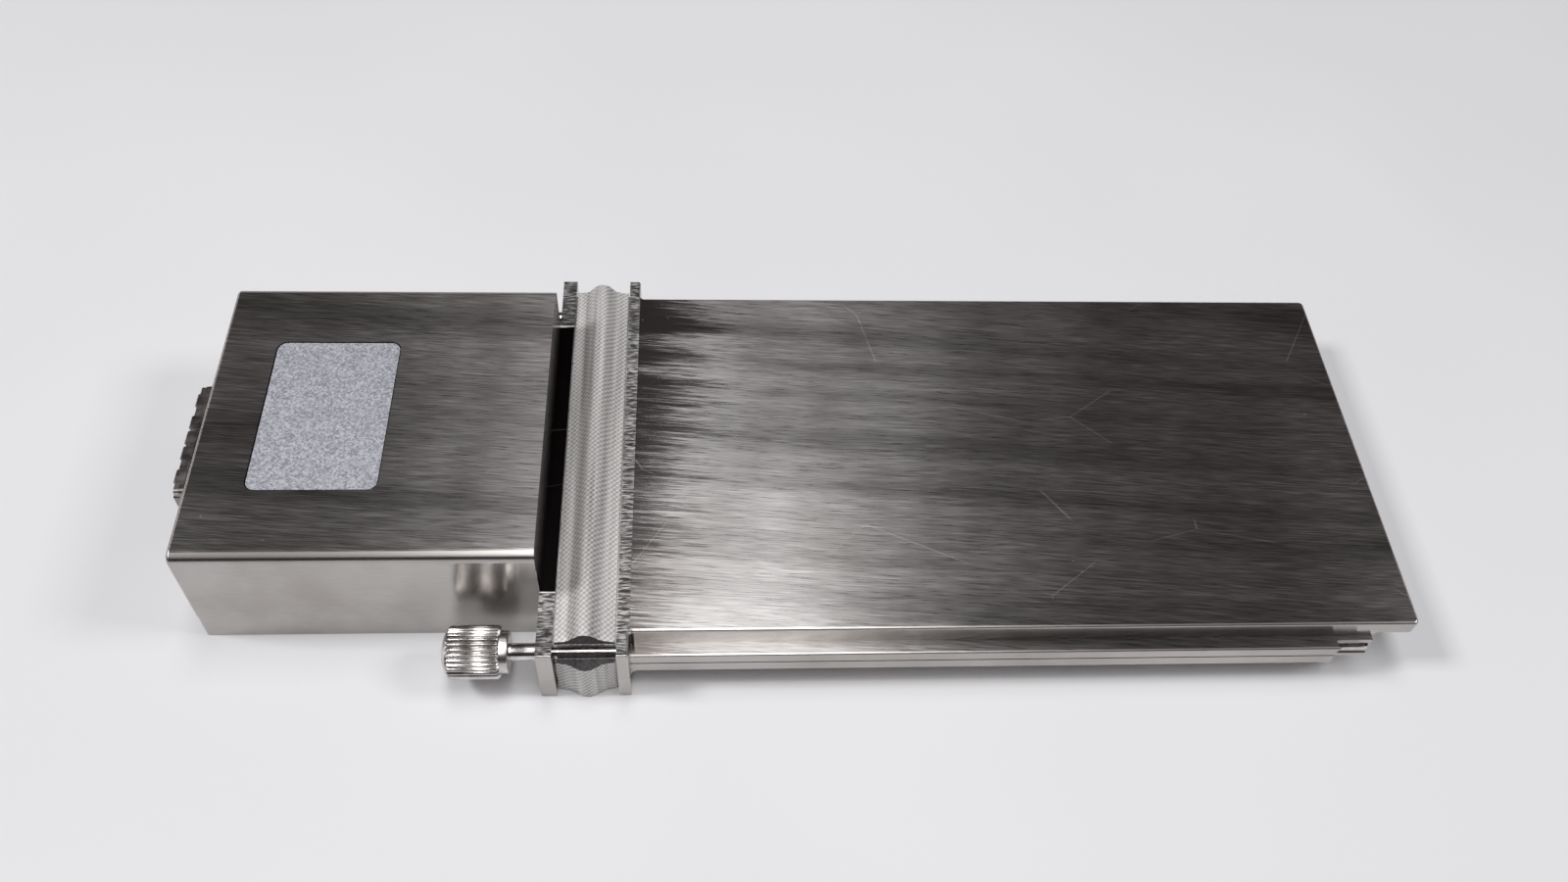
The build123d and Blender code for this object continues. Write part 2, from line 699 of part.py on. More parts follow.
row_offsets = (-outer_finger_y, -finger_pitch, 0, finger_pitch, outer_finger_y)
side_offsets = (-finger_pitch, 0, finger_pitch)
finger_places = [Plane(origin=(cage_x, y, port_z + side * cage_height / 2), x_dir=(1, 0, 0),
                       z_dir=(0, 0, side)) for y in row_offsets for side in (-1, 1)]
finger_places += [Plane(origin=(cage_x, side * cage_width / 2, port_z + z), x_dir=(1, 0, 0),
                        z_dir=(0, side, 0)) for z in side_offsets for side in (-1, 1)]
with BuildPart() as port_emi_collar:
    with BuildSketch(Plane.YZ.offset(cage_x + band_start)):
        with Locations((0, port_z)):
            RectangleRounded(
                cage_width + 2 * spring_sheet,
                cage_height + 2 * spring_sheet,
                cage_radius + spring_sheet,
            )
            RectangleRounded(cage_width, cage_height, cage_radius, mode=Mode.SUBTRACT)
    extrude(amount=band_width)
    with Locations(*finger_places):
        add(spring_finger.part)
port_emi_collar.part.label = "port_emi_collar"
export_step(port_emi_collar.part, "parts/port_emi_collar.step")

# Port receptacle: a moulded block with two card slots
slot_levels = [board_top_z + receptacle_height / 2 + side * card_slot_pitch / 2 for side in (-1, 1)]
with BuildPart() as port_receptacle:
    with BuildSketch(Plane.XY.offset(board_top_z)):
        strip(receptacle_x, receptacle_x + receptacle_length, receptacle_width / 2)
    extrude(amount=receptacle_height)
    chamfer(port_receptacle.edges().filter_by(Axis.X), receptacle_chamfer)
    with BuildSketch(Plane.YZ.offset(receptacle_x)):
        for level in slot_levels:
            slab(card_slot_width / 2, level - card_slot_height / 2, level + card_slot_height / 2)
    extrude(amount=card_slot_depth, mode=Mode.SUBTRACT)
port_receptacle.part.label = "port_receptacle"
export_step(port_receptacle.part, "parts/port_receptacle.step")

# Receptacle contacts, flat on the upper and lower face of each slot
contact_rise = (card_slot_height - contact_thickness) / 2
with BuildPart() as receptacle_contacts:
    with BuildSketch(Plane.YZ.offset(receptacle_x + contact_setback)):
        for level in slot_levels:
            for side in (-1, 1):
                with Locations((0, level + side * contact_rise)):
                    with GridLocations(contact_pitch, 1, port_contact_count, 1):
                        Rectangle(contact_width, contact_thickness)
    extrude(amount=port_contact_length)
receptacle_contacts.part.label = "receptacle_contacts"
export_step(receptacle_contacts.part, "parts/receptacle_contacts.step")

# Circuit board: narrow in the box and the passage, wide in the body
with BuildPart() as main_pcb:
    with BuildSketch(Plane.XY.offset(board_z)) as board_outline:
        strip(board_start_x, board_end_x, tunnel_half - board_gap)
        strip(board_shoulder_x, board_end_x, cavity_half - board_gap)
        chamfer(board_outline.vertices().group_by(Axis.X)[-1], board_corner)
        chamfer(board_outline.vertices().group_by(Axis.X)[0], board_corner)
        with Locations(*body_boss_spots, *box_boss_spots):
            Circle(board_hole_radius, mode=Mode.SUBTRACT)
    extrude(amount=board_thickness)
main_pcb.part.label = "main_pcb"
export_step(main_pcb.part, "parts/main_pcb.step")

# Components on the board
with BuildPart() as retimer_chips:
    with BuildSketch(Plane.XY.offset(board_top_z)):
        with Locations(*retimer_spots):
            Rectangle(retimer_size, retimer_size)
    extrude(amount=retimer_height)
retimer_chips.part.label = "retimer_chips"
export_step(retimer_chips.part, "parts/retimer_chips.step")

with BuildPart() as thermal_pads:
    with BuildSketch(Plane.XY.offset(retimer_top_z)):
        with Locations(*retimer_spots):
            Rectangle(retimer_size - pad_margin, retimer_size - pad_margin)
    extrude(amount=pad_thickness)
thermal_pads.part.label = "thermal_pads"
export_step(thermal_pads.part, "parts/thermal_pads.step")

with BuildPart() as controller_chip:
    with BuildSketch(Plane.XY.offset(board_top_z)):
        with Locations((seat_x + controller_inset, 0)):
            Rectangle(controller_size, controller_size)
    extrude(amount=controller_height)
controller_chip.part.label = "controller_chip"
export_step(controller_chip.part, "parts/controller_chip.step")

with BuildPart() as oscillator:
    with BuildSketch(Plane.XY.offset(board_top_z)):
        with Locations((seat_x + oscillator_inset, 0)):
            Rectangle(oscillator_length, oscillator_width)
    extrude(amount=oscillator_height)
oscillator.part.label = "oscillator"
export_step(oscillator.part, "parts/oscillator.step")

with BuildPart() as power_inductors:
    with BuildSketch(Plane.XY.offset(board_top_z)) as inductor_outline:
        with Locations(*[(power_x, side * inductor_y) for side in (-1, 1)]):
            Rectangle(inductor_size, inductor_size)
        chamfer(inductor_outline.vertices(), inductor_corner)
    extrude(amount=inductor_height)
power_inductors.part.label = "power_inductors"
export_step(power_inductors.part, "parts/power_inductors.step")

with BuildPart() as capacitors:
    with BuildSketch(Plane.XY.offset(board_top_z)):
        with Locations(*[(power_x, side * capacitor_y) for side in (-1, 1)]):
            with GridLocations(capacitor_pitch, 1, capacitor_count, 1):
                Rectangle(capacitor_length, capacitor_width)
    extrude(amount=capacitor_height)
capacitors.part.label = "capacitors"
export_step(capacitors.part, "parts/capacitors.step")

# Rear plug: a moulded body over the board's end, with a contact tongue in its mouth
with BuildPart() as rear_plug_body:
    with BuildSketch(Plane.XY.offset(board_top_z)):
        strip(board_end_x - plug_foot, board_end_x, plug_half)
    extrude(amount=plug_top_z - board_top_z)
    with BuildSketch(Plane.YZ.offset(board_end_x)):
        slab(plug_half, plug_z, plug_top_z)
    extrude(amount=plug_end_x - board_end_x)
    with BuildSketch(Plane.YZ.offset(plug_mouth_x)):
        slab(plug_half - plug_wall, plug_z + plug_wall, plug_top_z - plug_wall)
    extrude(amount=plug_mouth_depth, mode=Mode.SUBTRACT)
    with BuildSketch(Plane.YZ.offset(plug_mouth_x)):
        slab(
            tongue_plate_half,
            plug_middle_z - tongue_plate_thickness / 2,
            plug_middle_z + tongue_plate_thickness / 2,
        )
    extrude(amount=plug_mouth_depth - tongue_plate_gap)
rear_plug_body.part.label = "rear_plug_body"
export_step(rear_plug_body.part, "parts/rear_plug_body.step")

# Plug contacts, flat on both faces of the tongue
plug_contact_rise = (tongue_plate_thickness + contact_thickness) / 2
with BuildPart() as rear_plug_contacts:
    with BuildSketch(Plane.YZ.offset(plug_mouth_x)):
        for side in (-1, 1):
            with Locations((0, plug_middle_z + side * plug_contact_rise)):
                with GridLocations(contact_pitch, 1, plug_contact_count, 1):
                    Rectangle(contact_width, contact_thickness)
    extrude(amount=plug_contact_length)
rear_plug_contacts.part.label = "rear_plug_contacts"
export_step(rear_plug_contacts.part, "parts/rear_plug_contacts.step")

# Metal shell round the end of the plug
with BuildPart() as rear_plug_shell:
    with BuildSketch(Plane.YZ.offset(plug_end_x)):
        slab(plug_half + plug_shell_sheet, plug_z - plug_shell_sheet, plug_top_z + plug_shell_sheet)
        with Locations((0, plug_middle_z)):
            Rectangle(2 * plug_half, plug_top_z - plug_z, mode=Mode.SUBTRACT)
    extrude(amount=-plug_shell_length)
rear_plug_shell.part.label = "rear_plug_shell"
export_step(rear_plug_shell.part, "parts/rear_plug_shell.step")
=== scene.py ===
"""Looks of a pluggable network module: shells, gaskets, jackscrews, port and rear plug."""

from __future__ import annotations

import logging
import math
from dataclasses import dataclass, field
from enum import Enum
from typing import Any, Callable

import bpy
from mathutils import Matrix, Vector

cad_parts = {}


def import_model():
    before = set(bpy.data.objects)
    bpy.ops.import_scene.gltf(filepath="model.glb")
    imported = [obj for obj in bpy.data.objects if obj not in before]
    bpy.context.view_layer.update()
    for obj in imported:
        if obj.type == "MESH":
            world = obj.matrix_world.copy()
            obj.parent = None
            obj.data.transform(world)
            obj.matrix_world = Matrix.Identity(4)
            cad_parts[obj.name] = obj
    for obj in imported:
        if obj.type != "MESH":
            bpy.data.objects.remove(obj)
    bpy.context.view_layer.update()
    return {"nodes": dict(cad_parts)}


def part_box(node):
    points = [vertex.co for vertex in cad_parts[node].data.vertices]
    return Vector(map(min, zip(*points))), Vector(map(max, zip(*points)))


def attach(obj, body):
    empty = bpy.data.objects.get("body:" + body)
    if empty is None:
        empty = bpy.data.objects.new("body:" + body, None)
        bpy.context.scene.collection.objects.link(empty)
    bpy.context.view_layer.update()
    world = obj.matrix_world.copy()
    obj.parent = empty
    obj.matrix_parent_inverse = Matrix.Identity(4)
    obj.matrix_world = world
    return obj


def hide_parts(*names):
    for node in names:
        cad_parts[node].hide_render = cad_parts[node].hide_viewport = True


log = logging.getLogger("network_module")

MM = 0.001
TOUCH = 0.001 * MM  # points closer than this count as one place
Box = tuple[Vector, Vector]
Link = bpy.types.Node | bpy.types.NodeSocket


class Side(Enum):
    """The two long sides of the module, by the sign of their Y."""

    NEAR = -1
    FAR = 1

    @property
    def word(self) -> str:
        """The side's name in the names of nodes and bodies."""
        return self.name.lower()


class Pick(Enum):
    """What a rule selects in edit mode, by where a mesh keeps it."""

    FACE = "polygons"
    EDGE = "edges"


# ---------------------------------------------------------------------------------------------
# Small tools
# ---------------------------------------------------------------------------------------------


def srgb(code: str) -> tuple[float, float, float, float]:
    """Turns an sRGB hex colour into linear values.

    Args:
        code: Six hex digits, such as "b4b0ac".

    Returns:
        Linear red, green and blue, and an alpha of 1.
    """
    parts = [int(code[i:i + 2], 16) / 255 for i in (0, 2, 4)]
    linear = [c / 12.92 if c <= 0.04045 else ((c + 0.055) / 1.055) ** 2.4 for c in parts]
    return linear[0], linear[1], linear[2], 1.0


def add_node(tree: bpy.types.NodeTree, kind: str, settings: dict[str | int, Any]) -> bpy.types.Node:
    """Adds one node with its settings and its incoming links.

    Args:
        tree: The node tree that gets the node.
        kind: The node's type, without the leading "ShaderNode".
        settings: Values by property name, or by input name or number. An output socket is linked
            to the input, and a node stands for its first output.

    Returns:
        The new node.
    """
    node = tree.nodes.new("ShaderNode" + kind)
    for name, value in settings.items():
        if isinstance(value, bpy.types.Node):
            value = value.outputs[0]
        if isinstance(value, bpy.types.NodeSocket):
            tree.links.new(value, node.inputs[name])
        elif name == "stops":
            ramp = node.color_ramp
            while len(ramp.elements) < len(value):
                ramp.elements.new(0.5)
            for element, (place, colour) in zip(ramp.elements, value):
                element.position = place
                element.color = colour if isinstance(colour, tuple) else (colour,) * 3 + (1.0,)
        elif isinstance(name, str) and hasattr(node, name):
            setattr(node, name, value)
        else:
            node.inputs[name].default_value = value
    return node


def middle(box: Box) -> Vector:
    """Finds the middle of a box.

    Args:
        box: The lowest and the highest corner.

    Returns:
        The point half way between them.
    """
    return (Vector(box[0]) + Vector(box[1])) / 2


def clear_selection() -> None:
    """Leaves edit mode and deselects every object."""
    if bpy.context.object and bpy.context.object.mode != "OBJECT":
        bpy.ops.object.mode_set(mode="OBJECT")
    bpy.ops.object.select_all(action="DESELECT")


def take_up(piece: bpy.types.Object) -> None:
    """Makes a piece the only selected and active object.

    Args:
        piece: The object.
    """
    clear_selection()
    piece.select_set(True)
    bpy.context.view_layer.objects.active = piece


def edit_all(piece: bpy.types.Object) -> None:
    """Opens a piece in edit mode with all of its mesh selected.

    Args:
        piece: The object.
    """
    take_up(piece)
    bpy.ops.object.mode_set(mode="EDIT")
    bpy.ops.mesh.select_all(action="SELECT")


def bake_place(piece: bpy.types.Object, place: Matrix) -> None:
    """Moves a piece's mesh to its place and leaves its object at the origin.

    Args:
        piece: The object.
        place: Where its mesh goes.
    """
    take_up(piece)
    piece.matrix_world = place
    bpy.ops.object.transform_apply(location=True, rotation=True, scale=True)
    clear_selection()


def show_picks(piece: bpy.types.Object, kind: Pick, picked: list[bool]) -> None:
    """Selects faces or edges of the piece in edit mode, and only those.

    Args:
        piece: The object being edited.
        kind: Which of the two.
        picked: Whether each of them is selected.
    """
    mesh = piece.data
    for elements in (mesh.vertices, mesh.edges, mesh.polygons):
        elements.foreach_set("select", [False] * len(elements))
    getattr(mesh, kind.value).foreach_set("select", picked)
    bpy.ops.object.mode_set(mode="EDIT")
    bpy.ops.mesh.select_mode(type=kind.name)


def select_faces(piece: bpy.types.Object, wanted: Callable[[bpy.types.MeshPolygon], bool]) -> None:
    """Selects faces of the piece in edit mode by a rule, and only those.

    Args:
        piece: The object being edited.
        wanted: Says whether a face is selected.
    """
    take_up(piece)
    show_picks(piece, Pick.FACE, [bool(wanted(face)) for face in piece.data.polygons])


def select_edges(piece: bpy.types.Object, wanted: Callable[[Vector, Vector], bool]) -> None:
    """Selects edges of the piece in edit mode by a rule on their two ends, and only those.

    Args:
        piece: The object being edited.
        wanted: Says whether an edge is selected.
    """
    take_up(piece)
    points = [vertex.co for vertex in piece.data.vertices]
    ends = [tuple(edge.vertices) for edge in piece.data.edges]
    show_picks(piece, Pick.EDGE, [bool(wanted(points[a], points[b])) for a, b in ends])


def finish_mesh(piece: bpy.types.Object, angle: float = 35.0) -> None:
    """Merges doubles, turns faces outwards and smooths the shallow edges.

    Args:
        piece: The object, which may be in edit mode.
        angle: Edges sharper than this many degrees stay sharp.
    """
    edit_all(piece)
    bpy.ops.mesh.remove_doubles(threshold=0.5e-6)
    bpy.ops.mesh.normals_make_consistent(inside=False)
    bpy.ops.object.mode_set(mode="OBJECT")
    bpy.ops.object.transform_apply(location=True, rotation=True, scale=True)
    bpy.ops.object.shade_smooth_by_angle(angle=math.radians(angle))
    piece.select_set(False)


def apply_modifier(piece: bpy.types.Object, kind: str, **settings: Any) -> None:
    """Adds a modifier, sets it and applies it.

    Args:
        piece: The object that gets it.
        kind: The modifier's type.
        **settings: The modifier's properties.
    """
    take_up(piece)
    modifier = piece.modifiers.new(kind.title(), kind)
    for name, value in settings.items():
        setattr(modifier, name, value)
    bpy.ops.object.modifier_apply(modifier=modifier.name)


def copy_piece(piece: bpy.types.Object, name: str) -> bpy.types.Object:
    """Copies a piece with a mesh of its own.

    Args:
        piece: The object to copy.
        name: The copy's name.

    Returns:
        The copy.
    """
    twin = piece.copy()
    twin.data = piece.data.copy()
    twin.name = name
    bpy.context.collection.objects.link(twin)
    return twin


def join_pieces(pieces: list[bpy.types.Object], name: str) -> bpy.types.Object:
    """Joins objects into the first of them.

    Args:
        pieces: The objects to join.
        name: The joined object's name.

    Returns:
        The joined object.
    """
    take_up(pieces[0])
    for piece in pieces[1:]:
        piece.select_set(True)
    bpy.ops.object.join()
    pieces[0].name = name
    clear_selection()
    return pieces[0]


# ---------------------------------------------------------------------------------------------
# Finishes
# ---------------------------------------------------------------------------------------------


@dataclass(frozen=True)
class Finish:
    """A surface finish, whose nodes a subclass draws."""

    name: str

    def build(self) -> bpy.types.Material:
        """Makes the material.

        Returns:
            The finished material.
        """
        material = bpy.data.materials.new(self.name)
        material.use_nodes = True
        tree = material.node_tree
        tree.nodes.clear()
        add_node(tree, "OutputMaterial", {"Surface": self.draw(tree)})
        return material

    def draw(self, tree: bpy.types.NodeTree) -> bpy.types.Node:
        """Adds the nodes of the surface.

        Args:
            tree: The material's node tree.

        Returns:
            The shader.
        """
        raise NotImplementedError

    def streaks(
        self, tree: bpy.types.NodeTree, place: Link, size: tuple[float, float, float],
        detail: float, roughness: float = 0.5,
    ) -> bpy.types.Node:
        """Draws noise that is longer in one direction than in another.

        Args:
            tree: The node tree.
            place: Where the surface is.
            size: Usual length of a streak along each axis.
            detail: Octaves of finer noise.
            roughness: Share of the finer noise.

        Returns:
            The noise.
        """
        scale = tuple(1 / length for length in size)
        stretched = add_node(tree, "Mapping", {"Scale": scale, "Vector": place})
        return add_node(tree, "TexNoise", {
            "Scale": 1.0, "Detail": detail, "Roughness": roughness, "Vector": stretched,
        })


@dataclass(frozen=True)
class BrushedNickel(Finish):
    """Nickel plate on machined zinc, its top faces brushed by hand along the module's length.

    The grooves spread a lamp's reflection across themselves, so that it turns into a soft band of
    fine light and dark lines. The sides are plain satin, and the rounded edges are painted lighter
    as a painted highlight. Next to the flanges the belt doesn't reach: the metal stays smooth, and
    its colour there is darkened as a painted reflection of the dark room and painted shade. The
    flanges' own tops are filed; inside the box's width the front flange's top is painted near
    black as painted shadow and dark reflection, with a painted glint along a burr at its edge.
    The gap round the label is painted black as painted shade. Real grooves are about 0.05 mm
    apart, which is too fine to show, so they are drawn coarser.
    """

    gap_start: float
    gap_end: float
    box_half: float
    recess_floor: float
    front_flange: float = 2.7 * MM
    rear_flange: float = 2.1 * MM
    bright: str = "e0dedd"
    dull: str = "b8b5b4"
    satin: str = "b6b2ae"
    stain: str = "bab4b0"
    # Painted reflection and shade: the smooth metal next to the flanges is coloured darker, as if
    # it mirrored the dark room
    smooth_tint: str = "625d5b"
    # Painted shadow and dark reflection: the polished strip of the front flange, inside the box's
    # width, is coloured near black
    polished_tint: str = "2b2728"
    # Painted glint: the real burr is coloured near white where it catches the light
    burr_tint: str = "f2f0ee"
    # Painted highlight: the rounded edges are coloured lighter where the lamps glint on them
    edge_tint: str = "e6e2de"
    # Painted shade: the sunken floor in the gap round the label is coloured near black
    dirt: str = "0c0b0b"
    stroke_slant: float = math.radians(4.5)
    groove_width: float = 0.18 * MM
    groove_length: float = 6.0 * MM
    belt_width: float = 0.8 * MM
    belt_length: float = 24.0 * MM
    belt_share: float = 0.18
    band_width: float = 8.0 * MM
    band_length: float = 160.0 * MM
    ripple_length: float = 17.0 * MM
    ripple_width: float = 60.0 * MM
    file_width: float = 0.34 * MM
    file_length: float = 1.8 * MM
    cloud_size: float = 18.0 * MM
    wander: float = 2.0 * MM
    wander_size: float = 70.0 * MM
    unbrushed_reach: float = 7.0 * MM
    unbrushed_fade: float = 8.0 * MM
    unbrushed_skew: float = 0.11
    polished_overlap: float = 0.75 * MM
    burr_wander: float = 1.2 * MM
    scratch_cell: float = 42.0 * MM
    scratch_turn: float = math.radians(28)
    scratch_patch: float = 17.0 * MM
    dent_spacing: float = 5.0 * MM
    roughness_smooth: float = 0.16
    roughness_unbrushed: float = 0.22
    roughness_satin: float = 0.19
    roughness_edge: float = 0.38
    roughness_low: float = 0.27
    roughness_high: float = 0.33
    roughness_filed: float = 0.4
    anisotropy: float = 0.72
    bump_height: float = 0.012 * MM
    file_depth: float = 0.06 * MM

    def draw(self, tree: bpy.types.NodeTree) -> bpy.types.Node:
        """Adds the nodes of the surface, from its strokes to its shader.

        Args:
            tree: The material's node tree.

        Returns:
            The shader.
        """
        place = add_node(tree, "TexCoord", {}).outputs["Object"]
        # Strokes wander a little, as a hand-held belt does
        drift = add_node(tree, "TexNoise", {
            "Scale": 1 / self.wander_size, "Detail": 1.0, "Vector": place,
        }).outputs["Color"]
        shift = add_node(tree, "VectorMath", {
            "operation": "MULTIPLY", 0: drift, 1: (0.0, self.wander, self.wander),
        })
        bent = add_node(tree, "VectorMath", {"operation": "ADD", 0: place, 1: shift})
        slanted = add_node(tree, "Mapping", {
            "Rotation": (0.0, 0.0, self.stroke_slant), "Vector": bent,
        })
        sizes = {
            "grooves": (slanted, self.groove_length, self.groove_width, 2.0),
            "belts": (slanted, self.belt_length, self.belt_width, 2.0),
            "bands": (slanted, self.band_length, self.band_width, 1.0),
            "ripples": (place, self.ripple_length, self.ripple_width, 1.0),
            "filing": (place, self.file_length, self.file_width, 2.0),
        }
        strokes = {
            name: self.streaks(tree, where, (length, width, width), detail, 0.6)
            for name, (where, length, width, detail) in sizes.items()
        }
        strokes["brushing"] = add_node(tree, "Mix", {
            "data_type": "FLOAT", 0: self.belt_share, 2: strokes["grooves"], 3: strokes["belts"],
        })
        masks = self.masks(tree, place, strokes)
        fine = add_node(tree, "Bump", {
            "Strength": 0.5, "Distance": self.bump_height, "Height": strokes["brushing"],
        })
        return add_node(tree, "BsdfPrincipled", {
            "Metallic": 1.0,
            "Anisotropic": self.anisotropy,
            "Anisotropic Rotation": 0.25,
            "Tangent": add_node(tree, "CombineXYZ", {"X": 1.0, "Y": 0.01, "Z": 0.01}),
            "Base Color": self.tone(tree, place, strokes, masks),
            "Roughness": self.roughness(tree, strokes, masks),
            "Normal": add_node(tree, "Bump", {
                "Distance": self.file_depth, "Strength": masks["filed"],
                "Height": strokes["filing"], "Normal": fine,
            }),
        })

    def masks(
        self, tree: bpy.types.NodeTree, place: Link, strokes: dict[str, Link]
    ) -> dict[str, Link]:
        """Marks the parts of the surface that differ from brushed metal.

        Args:
            tree: The node tree.
            place: Where the surface is.
            strokes: The streaks by name.

        Returns:
            Values of 1 on each part and 0 off it, by name.
        """
        split = add_node(tree, "SeparateXYZ", {0: place})
        along, across, height = (split.outputs[axis] for axis in "XYZ")
        normal = add_node(tree, "NewGeometry", {}).outputs["Normal"]
        rise = add_node(tree, "SeparateXYZ", {0: normal}).outputs["Z"]
        width = add_node(tree, "Math", {"operation": "ABSOLUTE", 0: across})
        depth = add_node(tree, "Math", {"operation": "SUBTRACT", 0: height, 1: self.recess_floor})
        depth = add_node(tree, "Math", {"operation": "ABSOLUTE", 0: depth})
        # A crooked burr runs where the polished strip ends, and its near-white colour is a painted
        # glint
        burr = add_node(tree, "Math", {
            "operation": "MULTIPLY_ADD", 0: strokes["belts"], 1: self.burr_wander,
            2: -self.box_half - self.polished_overlap,
        })
        burr = add_node(tree, "Math", {"operation": "ADD", 0: width, 1: burr})
        burr = add_node(tree, "Math", {"operation": "ABSOLUTE", 0: burr})
        # The belt gets closer to the flange on the near side, and single strokes reach further
        comb = add_node(tree, "Math", {
            "operation": "MULTIPLY_ADD", 0: across, 1: -self.unbrushed_skew, 2: along,
        })
        for name, amount in (("bands", 0.8), ("belts", 0.7), ("grooves", 0.7)):
            tooth = add_node(tree, "MapRange", {
                "From Min": 0.3, "From Max": 0.7, "To Min": -amount * self.unbrushed_reach,
                "To Max": amount * self.unbrushed_reach, "Value": strokes[name],
            })
            comb = add_node(tree, "Math", {"operation": "ADD", 0: comb, 1: tooth})
        # A few long, hair-thin scratches and small dents
        turned = add_node(tree, "Mapping", {
            "Rotation": (0.0, 0.0, self.scratch_turn),
            "Scale": (1 / self.scratch_cell, 1.7 / self.scratch_cell, 0.0), "Vector": place,
        })
        cells = add_node(tree, "TexVoronoi", {
            "feature": "DISTANCE_TO_EDGE", "Scale": 1.0, "Vector": turned,
        })
        patches = add_node(tree, "TexNoise", {
            "Scale": 1 / self.scratch_patch, "Detail": 0.0, "Vector": place,
        })
        dents = add_node(tree, "TexVoronoi", {"Scale": 1 / self.dent_spacing, "Vector": place})

        # What each mask looks at, where it is 0 and where it is 1
        front_start = self.gap_start - self.front_flange
        plate_start = self.gap_end + self.rear_flange
        reach = plate_start + self.unbrushed_reach
        soft = 0.04 * MM
        limits = {
            "up": (rise, 0.75, 0.95),
            "flat": (rise, 0.985, 0.995),
            "tilted": (rise, 0.99, 0.96),
            "not_side": (rise, 0.6, 0.8),
            "front_begun": (along, front_start - soft, front_start),
            "front_left": (along, self.gap_start + soft, self.gap_start),
            "rear_begun": (along, self.gap_end - soft, self.gap_end),
            "rear_left": (along, plate_start + soft, plate_start),
            "plate_begun": (along, plate_start - 0.05 * MM, plate_start),
            "inside": (width, self.box_half + 0.1 * MM, self.box_half - 0.1 * MM),
            "on_burr": (burr, 0.22 * MM, 0.08 * MM),
            "on_floor": (depth, 0.05 * MM, 0.03 * MM),
            "at_root": (comb, reach + self.unbrushed_fade, reach - self.unbrushed_fade),
            "on_line": (cells, 0.0035, 0.001),
            "in_patch": (patches, 0.57, 0.62),
            "dented": (dents, 0.05, 0.025),
        }
        masks = {
            name: add_node(tree, "MapRange", {
                "interpolation_type": "SMOOTHSTEP", "From Min": low, "From Max": high,
                "Value": value,
            })
            for name, (value, low, high) in limits.items()
        }
        for name, operation, first, second in (
            ("edge", "MULTIPLY", "tilted", "not_side"),
            ("smooth", "MULTIPLY", "at_root", "plate_begun"),
            ("smooth", "MULTIPLY", "smooth", "up"),
            ("front", "MULTIPLY", "front_begun", "front_left"),
            ("rear", "MULTIPLY", "rear_begun", "rear_left"),
            ("polished", "MULTIPLY", "front", "inside"),
            ("polished", "MULTIPLY", "polished", "up"),
            ("filed", "SUBTRACT", "front", "polished"),
            ("filed", "MAXIMUM", "filed", "rear"),
            ("filed", "MULTIPLY", "filed", "up"),
            ("burr", "MULTIPLY", "on_burr", "front"),
            # Painted shade: the flat floor in the gap round the label
            ("recess", "MULTIPLY", "on_floor", "flat"),
            ("marks", "MULTIPLY", "on_line", "in_patch"),
            ("marks", "MAXIMUM", "marks", "dented"),
            ("marks", "MULTIPLY", "marks", "up"),
        ):
            masks[name] = add_node(tree, "Math", {
                "operation": operation, 0: masks[first], 1: masks[second],
            })
        return masks

    def tone(
        self, tree: bpy.types.NodeTree, place: Link, strokes: dict[str, Link],
        masks: dict[str, Link],
    ) -> Link:
        """Lays the colours over each other.

        Args:
            tree: The node tree.
            place: Where the surface is.
            strokes: The streaks by name.
            masks: The parts of the surface by name.

        Returns:
            The surface's colour.
        """
        upness = add_node(tree, "Math", {
            "operation": "MULTIPLY_ADD", 0: masks["up"], 1: 0.85, 2: 0.15,
        })
        clouds = add_node(tree, "TexNoise", {
            "Scale": 1 / self.cloud_size, "Detail": 3.0, "Vector": place,
        })
        brushed, haze, shade, press, teeth = (
            add_node(tree, "ValToRGB", {"stops": stops, "Fac": value})
            for stops, value in (
                (((0.42, srgb(self.dull)), (0.64, srgb(self.bright))), strokes["brushing"]),
                (((0.4, 0.0), (0.75, 0.5)), clouds),
                (((0.36, 0.6), (0.5, 0.86), (0.62, 1.0)), strokes["bands"]),
                (((0.38, 0.86), (0.6, 1.0)), strokes["ripples"]),
                (((0.4, 0.12), (0.5, 0.42), (0.62, 1.0)), strokes["filing"]),
            )
        )
        tone: Any = srgb(self.satin)
        for share, way, colour in (
            (upness, "MIX", brushed),
            (haze, "MULTIPLY", srgb(self.stain)),
            (masks["up"], "MULTIPLY", shade),
            (masks["up"], "MULTIPLY", press),
            # Painted highlight on the rounded edges
            (masks["edge"], "MIX", srgb(self.edge_tint)),
            # Painted reflection and shade on the smooth metal next to the flanges
            (masks["smooth"], "MIX", srgb(self.smooth_tint)),
            (masks["filed"], "MULTIPLY", teeth),
            # Painted shadow and dark reflection on the polished strip
            (masks["polished"], "MIX", srgb(self.polished_tint)),
            # Painted glint along the burr
            (masks["burr"], "MIX", srgb(self.burr_tint)),
            # Painted shade in the gap round the label
            (masks["recess"], "MIX", srgb(self.dirt)),
        ):
            tone = add_node(tree, "Mix", {
                "data_type": "RGBA", "blend_type": way, 0: share, 6: tone, 7: colour,
            }).outputs[2]
        return tone

    def roughness(
        self, tree: bpy.types.NodeTree, strokes: dict[str, Link], masks: dict[str, Link]
    ) -> Link:
        """Sets how rough each part of the surface is.

        Args:
            tree: The node tree.
            strokes: The streaks by name.
            masks: The parts of the surface by name.

        Returns:
            The surface's roughness.
        """
        brushed = add_node(tree, "MapRange", {
            "From Min": 0.35, "From Max": 0.65, "To Min": self.roughness_low,
            "To Max": self.roughness_high, "Value": strokes["brushing"],
        })
        rough: Any = self.roughness_satin
        for name, value in (
            ("up", brushed), ("edge", self.roughness_edge), ("smooth", self.roughness_unbrushed),
            ("polished", self.roughness_smooth), ("filed", self.roughness_filed),
            ("burr", self.roughness_filed), ("marks", self.roughness_filed),
        ):
            rough = add_node(tree, "Mix", {
                "data_type": "FLOAT", 0: masks[name], 2: rough, 3: value,
            })
        return rough


